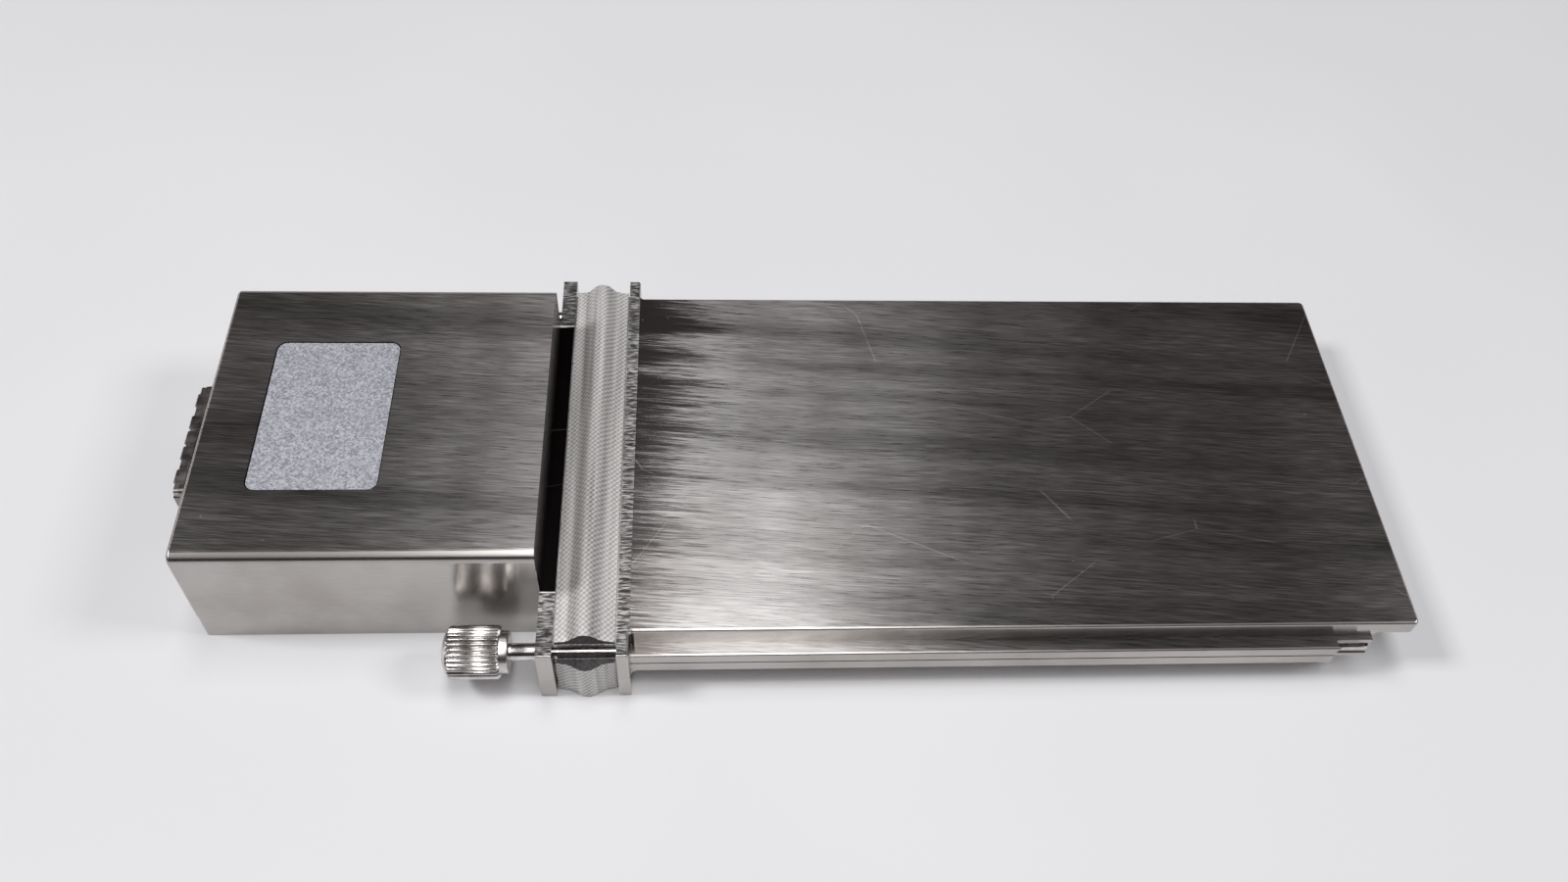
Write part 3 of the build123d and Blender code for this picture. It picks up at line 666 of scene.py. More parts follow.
@dataclass(frozen=True)
class TurnedSteel(Finish):
    """Bright steel turned on a lathe round the X axis, plated with nickel.

    Fine rings from the tool run round it, and give long, sharp lamp lines along it. The real rings
    are about 0.1 mm apart, which is too fine to show, so they are drawn coarser.
    """

    name: str = "turned_steel_nickel_plated"
    bright: str = "e2dfdd"
    dull: str = "c4c0bd"
    ring_pitch: float = 0.35 * MM
    ring_run: float = 6.0 * MM
    wear_size: float = 1.8 * MM
    roughness_low: float = 0.13
    roughness_high: float = 0.19

    def draw(self, tree: bpy.types.NodeTree) -> bpy.types.Node:
        """Adds the nodes of the surface: rings in the bump, wear in the colour.

        Args:
            tree: The material's node tree.

        Returns:
            The shader.
        """
        place = add_node(tree, "TexCoord", {}).outputs["Object"]
        rings = self.streaks(tree, place, (self.ring_pitch, self.ring_run, self.ring_run), 2.0)
        wear = add_node(tree, "TexNoise", {
            "Scale": 1 / self.wear_size, "Detail": 4.0, "Vector": place,
        })
        return add_node(tree, "BsdfPrincipled", {
            "Metallic": 1.0,
            "Base Color": add_node(tree, "ValToRGB", {
                "stops": ((0.35, srgb(self.dull)), (0.6, srgb(self.bright))), "Fac": wear,
            }),
            "Roughness": add_node(tree, "MapRange", {
                "From Min": 0.3, "From Max": 0.7, "To Min": self.roughness_low,
                "To Max": self.roughness_high, "Value": wear,
            }),
            "Normal": add_node(tree, "Bump", {
                "Strength": 0.12, "Distance": 0.01 * MM, "Height": rings,
            }),
        })


@dataclass(frozen=True)
class RolledSheet(Finish):
    """Thin rolled metal, stamped and bent: even, slightly clouded, with faint rolling lines."""

    bright: str
    dull: str
    roughness_low: float
    roughness_high: float
    line_width: float = 0.3 * MM
    line_length: float = 5.0 * MM
    cloud_size: float = 2.5 * MM

    def draw(self, tree: bpy.types.NodeTree) -> bpy.types.Node:
        """Adds the nodes of the surface: rolling lines mixed with clouds.

        Args:
            tree: The material's node tree.

        Returns:
            The shader.
        """
        place = add_node(tree, "TexCoord", {}).outputs["Object"]
        lines = self.streaks(tree, place, (self.line_length, self.line_width, self.line_width), 3.0)
        clouds = add_node(tree, "TexNoise", {
            "Scale": 1 / self.cloud_size, "Detail": 4.0, "Vector": place,
        })
        mixed = add_node(tree, "Mix", {"data_type": "FLOAT", 0: 0.5, 2: lines, 3: clouds})
        return add_node(tree, "BsdfPrincipled", {
            "Metallic": 1.0,
            "Base Color": add_node(tree, "ValToRGB", {
                "stops": ((0.35, srgb(self.dull)), (0.62, srgb(self.bright))), "Fac": mixed,
            }),
            "Roughness": add_node(tree, "MapRange", {
                "From Min": 0.3, "From Max": 0.7, "To Min": self.roughness_low,
                "To Max": self.roughness_high, "Value": clouds,
            }),
            "Normal": add_node(tree, "Bump", {
                "Strength": 0.3, "Distance": 0.015 * MM, "Height": mixed,
            }),
        })


@dataclass(frozen=True)
class FoilLabel(Finish):
    """Bare polyester label film with a metal-flake backing: silver grey, finely speckled, matt.

    The real flakes are about 0.1 mm wide, which is too fine to show, so they are drawn coarser.
    """

    name: str = "label_film_silver_flake"
    light: str = "d0d2d9"
    dark: str = "9496a0"
    flake: float = 0.3 * MM
    speckle_size: float = 0.5 * MM

    def draw(self, tree: bpy.types.NodeTree) -> bpy.types.Node:
        """Adds the nodes of the surface: flakes of random tone over finer noise.

        Args:
            tree: The material's node tree.

        Returns:
            The shader.
        """
        place = add_node(tree, "TexCoord", {}).outputs["Object"]
        flakes = add_node(tree, "TexVoronoi", {
            "Scale": 1 / self.flake, "Randomness": 1.0, "Vector": place,
        })
        fine = add_node(tree, "TexNoise", {
            "Scale": 1 / self.speckle_size, "Detail": 3.0, "Vector": place,
        })
        tones = add_node(tree, "SeparateColor", {0: flakes.outputs["Color"]})
        speckle = add_node(tree, "Mix", {"data_type": "FLOAT", 0: 0.5, 2: tones, 3: fine})
        return add_node(tree, "BsdfPrincipled", {
            "Metallic": 0.35,
            "Specular IOR Level": 0.4,
            "Base Color": add_node(tree, "ValToRGB", {
                "stops": ((0.25, srgb(self.dark)), (0.75, srgb(self.light))), "Fac": speckle,
            }),
            "Roughness": add_node(tree, "MapRange", {
                "To Min": 0.42, "To Max": 0.62, "Value": speckle,
            }),
            "Normal": add_node(tree, "Bump", {
                "Strength": 0.3, "Distance": 0.02 * MM, "Height": speckle,
            }),
        })


@dataclass(frozen=True)
class WovenShielding(Finish):
    """Nickel-coated polyester cloth in a fine diagonal weave, drawn over foam.

    The real threads are about 0.4 mm apart, which is too fine to show, so the weave is drawn at
    nearly twice that. Each thread is painted a little lighter than the gaps as a painted glint,
    and long bands along the strip are painted lighter and darker as painted shade of its folds.
    """

    name: str = "woven_nickel_coated_cloth"
    thread: str = "eceae8"
    gap: str = "5c5856"
    pitch: float = 0.72 * MM
    stripe_width: float = 1.6 * MM
    stripe_length: float = 45.0 * MM
    fuzz_size: float = 0.6 * MM

    def draw(self, tree: bpy.types.NodeTree) -> bpy.types.Node:
        """Adds the nodes of the surface: two sets of threads, stripes and fuzz.

        Args:
            tree: The material's node tree.

        Returns:
            The shader.
        """
        # The strip's own map lies flat along it, so that the weave follows the folds
        flat = add_node(tree, "TexCoord", {}).outputs["UV"]
        threads: Any = 0.0
        for turn, share in ((44.0, 0.62), (-46.0, 0.38)):
            turned = add_node(tree, "Mapping", {
                "Rotation": (0.0, 0.0, math.radians(turn)),
                "Scale": (2 * math.pi / self.pitch, 2 * math.pi / self.pitch, 1.0),
                "Vector": flat,
            })
            line = add_node(tree, "SeparateXYZ", {0: turned})
            wave = add_node(tree, "Math", {"operation": "SINE", 0: line})
            threads = add_node(tree, "Math", {
                "operation": "MULTIPLY_ADD", 0: wave, 1: share, 2: threads,
            })
        threads = add_node(tree, "MapRange", {"From Min": -0.8, "From Max": 0.7, "Value": threads})
        # Painted light and shade: long bands along the strip stand for the lamps falling on its
        # folds
        painted_fold_shade = self.streaks(tree, flat, (self.stripe_width, self.stripe_length, 1.0), 2.0)
        fuzz = add_node(tree, "TexNoise", {
            "Scale": 1 / self.fuzz_size, "Detail": 3.0, "Vector": flat,
        })
        tone: Any = 0.08
        # The colour takes the threads as a painted glint and the long bands as painted shade
        for layer, share in ((threads, 0.3), (painted_fold_shade, 0.75), (fuzz, 0.2)):
            tone = add_node(tree, "Math", {
                "operation": "MULTIPLY_ADD", 0: layer, 1: share, 2: tone,
            })
        return add_node(tree, "BsdfPrincipled", {
            "Metallic": 0.25,
            "Roughness": 0.5,
            "Sheen Weight": 0.15,
            "Sheen Roughness": 0.4,
            "Base Color": add_node(tree, "ValToRGB", {
                "stops": ((0.3, srgb(self.gap)), (0.95, srgb(self.thread))), "Fac": tone,
            }),
            "Normal": add_node(tree, "Bump", {
                "Strength": 0.35, "Distance": 0.05 * MM, "Height": threads,
            }),
        })


@dataclass(frozen=True)
class GrainySolid(Finish):
    """A matt, non-metal solid with fine grain: moulded plastic, foam, ceramic or rubber."""

    light: str
    dark: str
    grain: float
    bump_height: float
    roughness_low: float
    roughness_high: float

    def draw(self, tree: bpy.types.NodeTree) -> bpy.types.Node:
        """Adds the nodes of the surface: grain in small cells over broader clouds.

        Args:
            tree: The material's node tree.

        Returns:
            The shader.
        """
        place = add_node(tree, "TexCoord", {}).outputs["Object"]
        cells = add_node(tree, "TexVoronoi", {"Scale": 1 / self.grain, "Vector": place})
        clouds = add_node(tree, "TexNoise", {
            "Scale": 0.2 / self.grain, "Detail": 4.0, "Vector": place,
        })
        grain = add_node(tree, "Mix", {"data_type": "FLOAT", 0: 0.5, 2: cells, 3: clouds})
        return add_node(tree, "BsdfPrincipled", {
            "IOR": 1.5,
            "Base Color": add_node(tree, "ValToRGB", {
                "stops": ((0.3, srgb(self.dark)), (0.65, srgb(self.light))), "Fac": grain,
            }),
            "Roughness": add_node(tree, "MapRange", {
                "From Min": 0.3, "From Max": 0.7, "To Min": self.roughness_low,
                "To Max": self.roughness_high, "Value": clouds,
            }),
            "Normal": add_node(tree, "Bump", {
                "Strength": 0.5, "Distance": self.bump_height, "Height": grain,
            }),
        })


@dataclass(frozen=True)
class SolderMask(Finish):
    """Green solder mask over copper tracks on glass-fibre board: glossy, with raised tracks."""

    name: str = "green_solder_mask"
    mask: str = "1f5a38"
    track: str = "2f7a4c"
    track_width: float = 0.14 * MM
    track_pitch: float = 0.9 * MM
    track_run: float = 7.0 * MM
    patch_size: float = 9.0 * MM

    def draw(self, tree: bpy.types.NodeTree) -> bpy.types.Node:
        """Adds the nodes of the surface: tracks in patches under the mask.

        Args:
            tree: The material's node tree.

        Returns:
            The shader.
        """
        place = add_node(tree, "TexCoord", {}).outputs["Object"]
        tracks = add_node(tree, "TexBrick", {
            "Scale": 1.0, "Mortar Size": self.track_width, "Mortar Smooth": 0.2,
            "Brick Width": self.track_run, "Row Height": self.track_pitch, "Vector": place,
        })
        clouds = add_node(tree, "TexNoise", {
            "Scale": 1 / self.patch_size, "Detail": 3.0, "Vector": place,
        })
        shown = add_node(tree, "ValToRGB", {"stops": ((0.42, 0.0), (0.5, 1.0)), "Fac": clouds})
        copper = add_node(tree, "Math", {
            "operation": "MULTIPLY", 0: tracks.outputs["Fac"], 1: shown,
        })
        return add_node(tree, "BsdfPrincipled", {
            "Roughness": 0.3,
            "IOR": 1.52,
            "Base Color": add_node(tree, "Mix", {
                "data_type": "RGBA", 0: copper, 6: srgb(self.mask), 7: srgb(self.track),
            }).outputs[2],
            "Normal": add_node(tree, "Bump", {
                "Strength": 0.6, "Distance": 0.035 * MM, "Height": copper,
            }),
        })


@dataclass(frozen=True)
class WhiteLaminate(Finish):
    """Matt, near-white laminate of the tabletop, very faintly clouded."""

    name: str = "white_laminate"
    light: str = "f0f0f2"
    dark: str = "ebebee"
    cloud_size: float = 120.0 * MM

    def draw(self, tree: bpy.types.NodeTree) -> bpy.types.Node:
        """Adds the nodes of the surface: broad clouds in two near whites.

        Args:
            tree: The material's node tree.

        Returns:
            The shader.
        """
        place = add_node(tree, "TexCoord", {}).outputs["Object"]
        clouds = add_node(tree, "TexNoise", {
            "Scale": 1 / self.cloud_size, "Detail": 2.0, "Vector": place,
        })
        return add_node(tree, "BsdfPrincipled", {
            "Roughness": 0.6,
            "Base Color": add_node(tree, "ValToRGB", {
                "stops": ((0.3, srgb(self.dark)), (0.7, srgb(self.light))), "Fac": clouds,
            }),
        })


@dataclass
class Finishes:
    """The set of finishes, each made once and shared."""

    made: dict[str, bpy.types.Material] = field(default_factory=dict)

    def dress(self, piece: bpy.types.Object, finish: Finish) -> None:
        """Gives a piece one finish all over and reports the piece.

        Args:
            piece: The object.
            finish: Its finish, which is made the first time that its name comes up.
        """
        if finish.name not in self.made:
            self.made[finish.name] = finish.build()
        piece.data.materials.clear()
        piece.data.materials.append(self.made[finish.name])
        log.info("%s: %d faces, %s", piece.name, len(piece.data.polygons), finish.name)


# Tin plate is soft grey with a dull shine, and spring strip is a little darker and tighter
TINNED_SHEET = RolledSheet("tin_plated_sheet", "b9b5b1", "8f8b88", 0.28, 0.42)
SPRING_STRIP = RolledSheet("tin_plated_spring_strip", "aaa6a3", "7f7b79", 0.26, 0.4)
# Thin gold over bronze stays warm and bright
GOLD_FLASH = RolledSheet("gold_plated_bronze", "dcb45c", "b98a35", 0.18, 0.32)
# The grain of these is drawn at two to four times its real size, which is too fine to show.
# Moulded polymer and chip epoxy are nearly black, with a weak, slightly uneven sheen
BLACK_LCP = GrainySolid(
    "moulded_liquid_crystal_polymer", "26262a", "17171a", 0.12 * MM, 0.01 * MM, 0.42, 0.58,
)
CHIP_EPOXY = GrainySolid(
    "chip_moulding_epoxy", "2a2a2c", "1b1b1d", 0.1 * MM, 0.008 * MM, 0.45, 0.62,
)
# A silicone pad is grey and rubbery, without gloss
THERMAL_PAD = GrainySolid(
    "silicone_thermal_pad", "8d9298", "6f7479", 0.35 * MM, 0.02 * MM, 0.6, 0.75,
)
# Fired ceramic is tan, dense and smooth
TAN_CERAMIC = GrainySolid(
    "ceramic_capacitor_body", "a58a63", "86704f", 0.15 * MM, 0.006 * MM, 0.3, 0.45,
)
# Cut foam is dark, full of pores and without gloss
OPEN_FOAM = GrainySolid(
    "open_cell_urethane_foam", "5a5759", "1b191a", 0.22 * MM, 0.1 * MM, 0.75, 0.95,
)


# ---------------------------------------------------------------------------------------------
# Sub-assemblies
# ---------------------------------------------------------------------------------------------


@dataclass
class Shells:
    """The two housing halves, their screws and the bare label."""

    finishes: Finishes
    box_half: float = 30.5 * MM
    gasket_clearance: float = 0.15 * MM

    def build(self, nodes: dict[str, bpy.types.Object]) -> None:
        """Dresses the carried-over nodes.

        Args:
            nodes: The frame's nodes by name.
        """
        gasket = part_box("upper_gasket")
        nickel = BrushedNickel(
            "brushed_nickel_plate",
            gap_start=gasket[0][0] - self.gasket_clearance,
            gap_end=gasket[1][0] + self.gasket_clearance,
            box_half=self.box_half,
            recess_floor=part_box("label_plate")[0][2],
        )
        self.finishes.dress(nodes["upper_housing"], nickel)
        self.finishes.dress(nodes["lower_housing"], nickel)
        self.finishes.dress(nodes["label_plate"], FoilLabel())
        self.finishes.dress(nodes["shell_screws"], TurnedSteel())


@dataclass
class Gaskets:
    """Fabric-over-foam strips between the flanges: one on top, one round the sides and bottom."""

    finishes: Finishes
    top_rim: float = 0.8 * MM
    side_rim: float = 0.9 * MM
    side_crest: float = 2.5 * MM
    bottom_rim: float = 0.7 * MM
    bottom_crest: float = 1.1 * MM
    shoulder_rise: float = 0.3 * MM
    crest_foot: float = 3.0 * MM
    crest_half: float = 0.8 * MM
    fold_radius: float = 0.55 * MM
    cut_length: float = 0.55 * MM
    fold_segments: int = 4
    fewest_cuts: int = 6
    cloth: float = 0.07 * MM
    foam_inset: float = 1.15  # in thicknesses of the cloth
    foam_recess: float = 0.05 * MM
    end_zone: float = 0.2 * MM
    side_gap: float = 0.12 * MM
    puff: float = 0.12 * MM
    held_rim: float = 0.3 * MM
    loosening: float = 1.2 * MM
    model_scale: float = 20.0
    frames: int = 10
    fray: float = 0.12 * MM
    smooth_angle: float = 50.0

    def build(self) -> None:
        """Makes both gaskets in place of their solids."""
        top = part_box("upper_gasket")
        skin, foam = self.make_strip(
            "upper_gasket", (top[0][0], top[1][0]), top[1][1] - top[0][1], self.top_rim,
            top[1][2] - top[0][2], seed=3,
        )
        for piece in (skin, foam):
            bake_place(piece, Matrix.Translation((0, 0, top[0][2])))
        self.hand_over(skin, foam, "upper_gasket")

        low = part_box("lower_gasket")
        reach = (low[0][0], low[1][0])
        inner = low[1][1] - self.side_crest
        runs = []
        for side in Side:
            # Stood on its end against the side of the core, crest outwards
            stand = Matrix.Translation((0, side.value * inner, middle(low)[2]))
            turn = Matrix.Rotation(-side.value * math.pi / 2, 4, "X")
            strip = self.make_strip(
                f"{side.word}_flap", reach, low[1][2] - low[0][2], self.side_rim, self.side_crest,
                seed=7 + side.value,
            )
            runs.append((strip, stand @ turn))
        stand = Matrix.Translation((0, 0, low[0][2] + self.bottom_crest))
        strip = self.make_strip(
            "bottom_run", reach, 2 * inner, self.bottom_rim, self.bottom_crest, seed=11,
        )
        runs.append((strip, stand @ Matrix.Rotation(math.pi, 4, "X")))
        for strip, place in runs:
            for piece in strip:
                bake_place(piece, place)
        self.hand_over(
            join_pieces([strip[0] for strip, _ in runs], "lower_gasket_cloth"),
            join_pieces([strip[1] for strip, _ in runs], "lower_gasket_foam"),
            "lower_gasket",
        )

    def hand_over(self, skin: bpy.types.Object, foam: bpy.types.Object, node: str) -> None:
        """Dresses a gasket's two pieces, hangs them on the module's body and hides their CAD node.

        Args:
            skin: The cloth.
            foam: The core inside it.
            node: The CAD node that they stand for.
        """
        self.finishes.dress(skin, WovenShielding())
        self.finishes.dress(foam, OPEN_FOAM)
        for piece in (skin, foam):
            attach(piece, "module")
            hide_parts(node)

    def make_strip(
        self, name: str, reach: tuple[float, float], length: float, edge: float, crest: float,
        seed: int,
    ) -> tuple[bpy.types.Object, bpy.types.Object]:
        """Makes one strip that lies flat along Y, its crest upwards, on the plane Z = 0.

        Args:
            name: The strip's name.
            reach: Its two sides in X.
            length: Its length in Y.
            edge: Its thickness at the sides.
            crest: Its height at the crest.
            seed: Seed of the frayed ends.

        Returns:
            The cloth and the foam.
        """
        body = self.fold_profile(name, reach, length, edge, crest)
        self.swell(body)
        # A flat map in metres for the weave
        select_faces(body, lambda face: True)
        bpy.ops.uv.cube_project(cube_size=1.0, correct_aspect=False)
        bpy.ops.object.mode_set(mode="OBJECT")
        foam = copy_piece(body, name + "_foam")
        edit_all(foam)
        bpy.ops.transform.shrink_fatten(value=-self.foam_inset * self.cloth)
        shorter = 1 - 2 * self.foam_recess / length
        bpy.ops.transform.resize(value=(1, shorter, 1), center_override=(0, 0, 0))
        finish_mesh(foam, angle=self.smooth_angle)

        # The cloth is the body without its cut ends, whose rims are a little frayed
        end = length / 2 - self.end_zone
        select_faces(body, lambda face: abs(face.center[1]) > end and abs(face.normal[1]) > 0.6)
        bpy.ops.mesh.delete(type="FACE")
        select_edges(body, lambda a, b: min(abs(a[1]), abs(b[1])) > end)
        bpy.ops.transform.vertex_random(offset=self.fray, uniform=0.0, normal=0.0, seed=seed)
        bpy.ops.object.mode_set(mode="OBJECT")
        apply_modifier(body, "SOLIDIFY", thickness=self.cloth, offset=-1.0)
        take_up(body)
        bpy.ops.object.shade_smooth_by_angle(angle=math.radians(self.smooth_angle))
        body.name = name + "_cloth"
        clear_selection()
        return body, foam

    def fold_profile(
        self, name: str, reach: tuple[float, float], length: float, edge: float, crest: float
    ) -> bpy.types.Object:
        """Folds a flat strip into the gasket's cross-section and closes it underneath.

        Args:
            name: The strip's name.
            reach: Its two sides in X.
            length: Its length in Y.
            edge: Its thickness at the sides.
            crest: Its height at the crest.

        Returns:
            The closed strip.
        """
        reach = (reach[0] + self.side_gap, reach[1] - self.side_gap)
        centre = (reach[0] + reach[1]) / 2
        shoulder = min(edge + self.shoulder_rise, crest)
        folds = [
            (centre - self.crest_foot, shoulder),
            (centre - self.crest_half, crest),
            (centre + self.crest_half, crest),
            (centre + self.crest_foot, shoulder),
            (reach[1], edge),
        ]
        clear_selection()
        bpy.ops.mesh.primitive_plane_add(size=1.0)
        body = bpy.context.object
        body.name = name
        bpy.ops.object.mode_set(mode="EDIT")
        first = folds[0][0] - reach[0]
        bpy.ops.transform.resize(value=(first, length, 1), center_override=(0, 0, 0))
        bpy.ops.transform.translate(value=((reach[0] + folds[0][0]) / 2, 0, edge))
        select_edges(body, lambda a, b: min(a[0], b[0]) > folds[0][0] - TOUCH)
        bpy.ops.transform.translate(value=(0, 0, shoulder - edge))
        for (x, z), (next_x, next_z) in zip(folds, folds[1:]):
            bpy.ops.mesh.extrude_region_move(
                TRANSFORM_OT_translate={"value": (next_x - x, 0, next_z - z)}
            )
        # Round folds
        inner = [x for x, _ in folds[:-1]]
        select_edges(body, lambda a, b: (
            abs(a[0] - b[0]) < TOUCH and any(abs(a[0] - x) < TOUCH for x in inner)
        ))
        bpy.ops.mesh.bevel(offset=self.fold_radius, segments=self.fold_segments)
        select_edges(body, lambda a, b: (
            abs(a[0] - b[0]) < TOUCH and abs(a[1] - b[1]) > length / 2
        ))
        bpy.ops.mesh.subdivide(
            number_cuts=max(self.fewest_cuts, int(length / self.cut_length))
        )
        # Underside
        bpy.ops.mesh.select_all(action="SELECT")
        bpy.ops.mesh.extrude_region_move(TRANSFORM_OT_translate={"value": (0, 0, 0)})
        bpy.ops.transform.resize(value=(1, 1, 0), center_override=(0, 0, 0))
        bpy.ops.mesh.select_all(action="SELECT")
        bpy.ops.mesh.normals_make_consistent(inside=False)
        bpy.ops.object.mode_set(mode="OBJECT")
        return body

    def swell(self, body: bpy.types.Object) -> None:
        """Lets the cloth swell over the foam: a short cloth simulation on the strip, scaled up for
        the run.

        Args:
            body: The closed strip, which takes the swollen shape.
        """
        start = [vertex.co.copy() for vertex in body.data.vertices]
        held = body.vertex_groups.new(name="held")
        lowest = min(point[0] for point in start)
        highest = max(point[0] for point in start)
        for number, point in enumerate(start):
            inwards = min(point[0] - lowest, highest - point[0])
            loose = min(1.0, max(0.0, (inwards - self.held_rim) / self.loosening))
            if point[2] < TOUCH:
                loose = 0.0
            held.add([number], 1.0 - loose, "REPLACE")
        for vertex in body.data.vertices:
            vertex.co *= self.model_scale
        take_up(body)
        cloth = body.modifiers.new("Cloth", "CLOTH")
        for name, value in {
            "quality": 5, "mass": 0.3, "tension_stiffness": 15, "compression_stiffness": 15,
            "bending_stiffness": 1.0, "use_pressure": True, "uniform_pressure_force": 2.0,
            "vertex_group_mass": "held", "pin_stiffness": 5.0,
        }.items():
            setattr(cloth.settings, name, value)
        cloth.settings.effector_weights.gravity = 0.0
        cloth.collision_settings.use_collision = False
        scene = bpy.context.scene
        for number in range(1, self.frames + 1):
            scene.frame_set(number)
        bpy.ops.object.modifier_apply(modifier=cloth.name)
        scene.frame_set(1)
        body.vertex_groups.clear()
        for vertex, rest in zip(body.data.vertices, start):
            move = vertex.co / self.model_scale - rest
            if move.length > self.puff:
                move *= self.puff / move.length
            vertex.co = rest + move


@dataclass
class JackScrews:
    """The two long screws: fluted knobs, snap rings, and rods with a threaded tip."""

    finishes: Finishes
    radius: float = 1.5 * MM
    groove_radius: float = 1.2 * MM
    groove_length: float = 0.66 * MM
    thread_pitch: float = 0.5 * MM
    thread_depth: float = 0.27 * MM
    thread_foot: float = 0.46  # in thread pitches
    thread_bite: float = 0.01 * MM
    thread_steps: int = 24
    thread_length: float = 11.0 * MM
    tip_chamfer: float = 0.35 * MM
    run_out: float = 0.9  # where the thread ends, in chamfers
    sides: int = 40
    ridges: int = 30
    ridge_lines: int = 6
    ridge_height: float = 0.4 * MM
    # How far the numbered lines of a ridge are pressed in, in ridge heights
    ridge_shape: tuple[tuple[float, tuple[int, ...]], ...] = (
        (0.14, (2, 4)), (0.62, (1, 5)), (1.0, (0,)),
    )
    grip_chamfer: float = 0.4 * MM
    dome_rise: float = 1.2 * MM
    dome_rings: tuple[float, ...] = (0.9, 0.75, 0.55, 0.3, 0.08)
    collar_length: float = 1.4 * MM
    collar_radius: float = 3.7 * MM
    collar_bevel: float = 0.12 * MM
    smooth_sides: int = 48

    def build(self, nodes: dict[str, bpy.types.Object]) -> None:
        """Makes both rods and dresses the knobs and rings.

        Args:
            nodes: The frame's nodes by name.
        """
        fluted = TurnedSteel("fluted_steel_nickel_plated", roughness_low=0.24, roughness_high=0.3)
        span = middle(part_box("far_screw_rod")) - middle(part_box("near_screw_rod"))
        rod = self.make_rod(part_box("near_screw_rod"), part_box("near_snap_ring"))
        knob = self.make_knob(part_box("near_screw_knob"))
        for near, part, finish in ((rod, "rod", TurnedSteel()), (knob, "knob", fluted)):
            far = copy_piece(near, near.name.replace("near", "far"))
            bake_place(far, Matrix.Translation(span))
            for side, piece in ((Side.NEAR, near), (Side.FAR, far)):
                self.finishes.dress(piece, finish)
                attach(piece, f"{side.word}_screw")
                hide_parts(f"{side.word}_screw_{part}")
        for side in Side:
            self.finishes.dress(nodes[f"{side.word}_snap_ring"], SPRING_STRIP)

    def make_knob(self, box: Box) -> bpy.types.Object:
        """Turns one knob: a domed end, a grip of rounded ridges and a plain collar.

        Args:
            box: The knob's own box.

        Returns:
            The knob.
        """
        axis = middle(box)
        start, end = box[0][0], box[1][0]
        radius = (box[1][2] - box[0][2]) / 2
        grip_start, grip_end = start + self.dome_rise, end - self.collar_length
        reach = (grip_start + self.grip_chamfer, grip_end - self.grip_chamfer)
        knob = self.add_bar(
            "near_fluted_knob", axis, reach, radius, self.ridge_lines * self.ridges,
        )
        for depth, lines in self.ridge_shape:
            select_edges(knob, lambda a, b: (
                abs(a[0] - b[0]) > MM and self.line_number(a, axis) in lines
            ))
            ratio = 1 - depth * self.ridge_height / radius
            bpy.ops.transform.resize(value=(1, ratio, ratio), center_override=tuple(axis))
        rim = radius - self.grip_chamfer
        for way, place, old_place in ((-1, grip_start, reach[0]), (1, grip_end, reach[1])):
            select_faces(knob, lambda face: face.normal[0] * way > 0.9)
            self.draw_out(axis, old_place, radius, [(place, rim)])

        dome = self.add_bar(
            "knob_dome", axis, (grip_start, grip_start + MM), rim, self.smooth_sides,
        )
        ball = (rim ** 2 + self.dome_rise ** 2) / (2 * self.dome_rise)
        widths = [share * rim for share in self.dome_rings]
        rings = [(start + ball - math.sqrt(ball ** 2 - width ** 2), width) for width in widths]
        select_faces(dome, lambda face: face.normal[0] < -0.9)
        self.draw_out(axis, grip_start, rim, rings)

        collar = self.add_bar(
            "knob_collar", axis, (grip_end - MM, end), self.collar_radius, self.smooth_sides,
        )
        select_edges(collar, lambda a, b: min(a[0], b[0]) > end - TOUCH)
        bpy.ops.mesh.bevel(offset=self.collar_bevel, segments=2)
        bpy.ops.object.mode_set(mode="OBJECT")
        knob = join_pieces([knob, dome, collar], "near_fluted_knob")
        finish_mesh(knob, angle=45)
        return knob

    def line_number(self, point: Vector, axis: Vector) -> int:
        """Tells which line of a ridge a point lies on."""
        turn = math.atan2(point[2] - axis[2], point[1] - axis[1]) / (2 * math.pi)
        return round(turn * self.ridge_lines * self.ridges) % self.ridge_lines

    def draw_out(
        self, axis: Vector, x: float, radius: float, rings: list[tuple[float, float]]
    ) -> None:
        """Draws the selected end of a bar out along X, through one ring after another.

        Args:
            axis: A point on the bar's axis.
            x: Where the end is.
            radius: The end's radius.
            rings: Each ring's place in X and its radius.
        """
        for next_x, next_radius in rings:
            bpy.ops.mesh.extrude_region_move(TRANSFORM_OT_translate={"value": (next_x - x, 0, 0)})
            ratio = next_radius / radius
            bpy.ops.transform.resize(
                value=(1, ratio, ratio), center_override=(next_x, axis[1], axis[2])
            )
            x, radius = next_x, next_radius
        bpy.ops.object.mode_set(mode="OBJECT")

    def add_bar(
        self, name: str, axis: Vector, reach: tuple[float, float], radius: float, sides: int
    ) -> bpy.types.Object:
        """Adds a plain round bar along X, which the caller shapes further.

        Args:
            name: The bar's name.
            axis: A point on its axis.
            reach: Its two ends in X.
            radius: Its radius.
            sides: How many faces run round it.

        Returns:
            The bar.
        """
        clear_selection()
        bpy.ops.mesh.primitive_cylinder_add(
            vertices=sides, radius=radius, depth=reach[1] - reach[0],
            location=((reach[0] + reach[1]) / 2, axis[1], axis[2]), rotation=(0, math.pi / 2, 0),
        )
        bar = bpy.context.object
        bar.name = name
        bpy.ops.object.transform_apply(location=True, rotation=True, scale=True)
        return bar

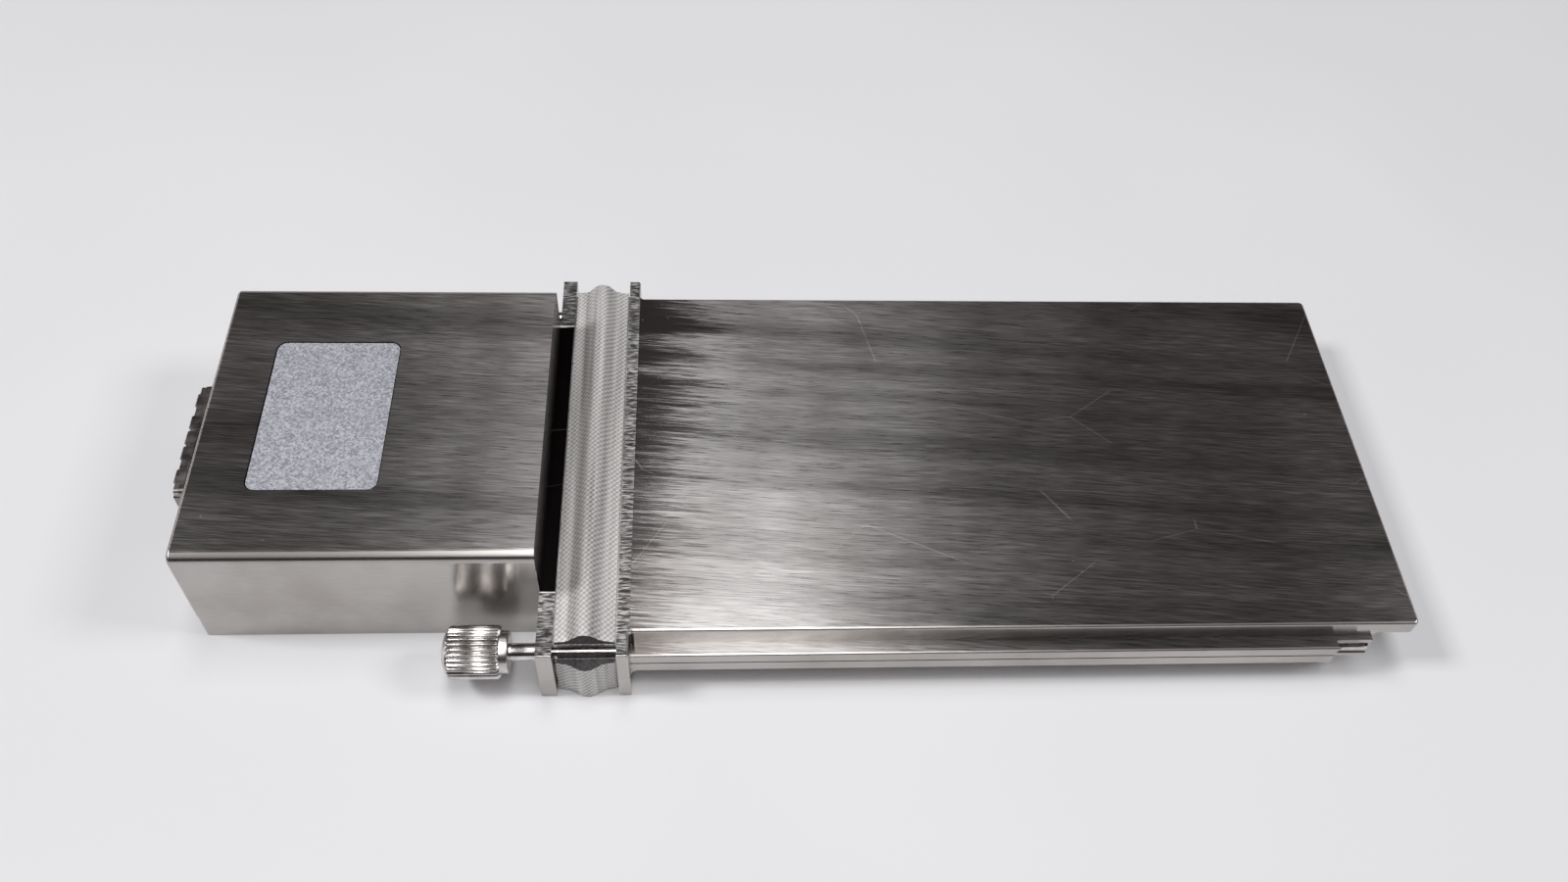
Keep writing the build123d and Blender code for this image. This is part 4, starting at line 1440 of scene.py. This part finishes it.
    def make_rod(self, box: Box, ring: Box) -> bpy.types.Object:
        """Turns one rod: shank, ring groove, thread and chamfered tip.

        Args:
            box: The rod's own box.
            ring: The snap ring's box, which gives the groove's place.

        Returns:
            The rod.
        """
        axis = middle(box)
        start, tip = box[0][0], box[1][0]
        thread_start = tip - self.thread_length
        core = self.radius - self.thread_depth
        groove = (ring[0][0] + ring[1][0] - self.groove_length) / 2
        rod = self.add_bar("near_threaded_rod", axis, (start, groove), self.radius, self.sides)
        rings = [
            (groove, self.groove_radius),
            (groove + self.groove_length, self.groove_radius),
            (groove + self.groove_length, self.radius),
            (thread_start, self.radius),
            (thread_start + self.thread_depth, core),
            (tip - self.tip_chamfer, core),
            (tip, core - self.tip_chamfer),
        ]
        select_faces(rod, lambda face: face.normal[0] > 0.9)
        self.draw_out(axis, groove, self.radius, rings)
        helix = self.make_helix(
            axis, thread_start + self.thread_pitch, tip - self.run_out * self.tip_chamfer, core
        )
        rod = join_pieces([rod, helix], "near_threaded_rod")
        finish_mesh(rod, angle=30)
        return rod

    def make_helix(self, axis: Vector, start: float, end: float, core: float) -> bpy.types.Object:
        """Winds the thread's ridge round the core.

        Args:
            axis: A point on the rod's axis.
            start: Where the thread starts in X.
            end: Where it ends in X.
            core: Radius at its root.

        Returns:
            The ridge, closed at both ends.
        """
        clear_selection()
        foot = self.thread_foot * self.thread_pitch
        turns = int((end - start) / self.thread_pitch) - 1
        bpy.ops.mesh.primitive_circle_add(
            vertices=4, radius=foot, fill_type="NOTHING",
            location=(core, 0, 0), rotation=(math.pi / 2, 0, 0),
        )
        ridge = bpy.context.object
        ridge.name = "thread_ridge"
        bpy.ops.object.transform_apply(location=True, rotation=True, scale=True)
        edit_all(ridge)
        bpy.ops.transform.resize(
            value=((self.thread_depth - self.thread_bite) / foot, 1, 1),
            center_override=(core, 0, 0),
        )
        bpy.ops.object.mode_set(mode="OBJECT")
        apply_modifier(
            ridge, "SCREW", axis="Z", angle=2 * math.pi, screw_offset=self.thread_pitch,
            iterations=turns, steps=self.thread_steps, render_steps=self.thread_steps,
            use_merge_vertices=False,
        )
        bpy.ops.object.mode_set(mode="EDIT")
        bpy.ops.mesh.select_all(action="DESELECT")
        bpy.ops.mesh.select_mode(type="EDGE")
        bpy.ops.mesh.select_non_manifold()
        bpy.ops.mesh.edge_face_add()
        bpy.ops.object.mode_set(mode="OBJECT")
        bake_place(
            ridge,
            Matrix.Translation((start, axis[1], axis[2])) @ Matrix.Rotation(math.pi / 2, 4, "Y"),
        )
        return ridge


@dataclass
class Insides:
    """The port, the board with its parts, and the rear plug, dressed as they are packed."""

    finishes: Finishes

    def build(self, nodes: dict[str, bpy.types.Object]) -> None:
        """Dresses the carried-over nodes.

        Args:
            nodes: The frame's nodes by name.
        """
        plan = {
            "port_cage": TINNED_SHEET,
            "port_emi_collar": SPRING_STRIP,
            "port_receptacle": BLACK_LCP,
            "receptacle_contacts": GOLD_FLASH,
            "main_pcb": SolderMask(),
            "retimer_chips": CHIP_EPOXY,
            "thermal_pads": THERMAL_PAD,
            "controller_chip": CHIP_EPOXY,
            "oscillator": TINNED_SHEET,
            "power_inductors": CHIP_EPOXY,
            "capacitors": TAN_CERAMIC,
            "rear_plug_body": BLACK_LCP,
            "rear_plug_contacts": GOLD_FLASH,
            "rear_plug_shell": TINNED_SHEET,
        }
        for name, finish in plan.items():
            self.finishes.dress(nodes[name], finish)


@dataclass(frozen=True)
class SoftLamp:
    """One rectangular lamp, aimed at the module or straight down."""

    name: str
    place: tuple[float, float, float]
    width: float
    depth: float
    power: float
    aimed: bool = True

    def build(self) -> None:
        """Hangs the lamp."""
        bpy.ops.object.light_add(type="AREA", location=self.place)
        lamp = bpy.context.object
        lamp.name = self.name
        lamp.data.shape = "RECTANGLE"
        lamp.data.size = self.width
        lamp.data.size_y = self.depth
        lamp.data.energy = self.power
        if self.aimed:
            lamp.rotation_euler = (-Vector(self.place)).to_track_quat("-Z", "Y").to_euler()


@dataclass
class Studio:
    """The tabletop, the lamps, the dim room and the camera."""

    finishes: Finishes
    floor_size: float = 8.0
    room_colour: str = "342c2d"
    room_strength: float = 1.0
    lamps: tuple[SoftLamp, ...] = (
        SoftLamp("overhead_strip", (-0.01, -0.21, 1.0), 0.24, 1.2, 5.6, aimed=False),
        SoftLamp("left_softbox", (-1.15, 0.0, 1.35), 0.35, 0.35, 11.5),
        SoftLamp("right_softbox", (1.35, -0.1, 1.35), 0.5, 0.5, 8.0),
    )
    camera_place: tuple[float, float, float] = (-0.01717, -0.15392, 0.21718)
    camera_pitch: float = 52.36
    camera_yaw: float = 5.91
    camera_roll: float = -4.61
    camera_focal_length: float = 31.417
    camera_sensor: float = 36.0

    def build(self) -> None:
        """Makes the floor, the room, the lamps and the camera."""
        clear_selection()
        bpy.ops.mesh.primitive_plane_add(size=self.floor_size)
        floor = bpy.context.object
        floor.name = "tabletop"
        self.finishes.dress(floor, WhiteLaminate())
        room = bpy.data.worlds.new("dim_room")
        room.use_nodes = True
        background = room.node_tree.nodes["Background"]
        background.inputs["Color"].default_value = srgb(self.room_colour)
        background.inputs["Strength"].default_value = self.room_strength
        bpy.context.scene.world = room
        for lamp in self.lamps:
            lamp.build()
        self.add_camera()
        # The lamps' white stays white, and the tones between stay as they are
        bpy.context.scene.view_settings.view_transform = "Standard"

    def add_camera(self) -> None:
        """Sets the camera that looks down on the near side from the front end."""
        bpy.ops.object.camera_add()
        camera = bpy.context.object
        camera.name = "main_camera"
        camera.data.lens = self.camera_focal_length
        camera.data.sensor_width = self.camera_sensor
        camera.data.clip_start = 0.01
        turn = (
            Matrix.Rotation(-math.radians(self.camera_yaw), 3, "Z")
            @ Matrix.Rotation(math.pi / 2 - math.radians(self.camera_pitch), 3, "X")
            @ Matrix.Rotation(-math.radians(self.camera_roll), 3, "Z")
        )
        camera.rotation_euler = turn.to_euler()
        camera.location = self.camera_place
        bpy.context.scene.camera = camera


def main() -> None:
    """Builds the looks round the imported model, one sub-assembly after another."""
    logging.basicConfig(level=logging.INFO)
    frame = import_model()
    clear_selection()
    finishes = Finishes()
    Shells(finishes).build(frame["nodes"])
    Gaskets(finishes).build()
    JackScrews(finishes).build(frame["nodes"])
    Insides(finishes).build(frame["nodes"])
    Studio(finishes).build()


if __name__ == "__main__":
    main()
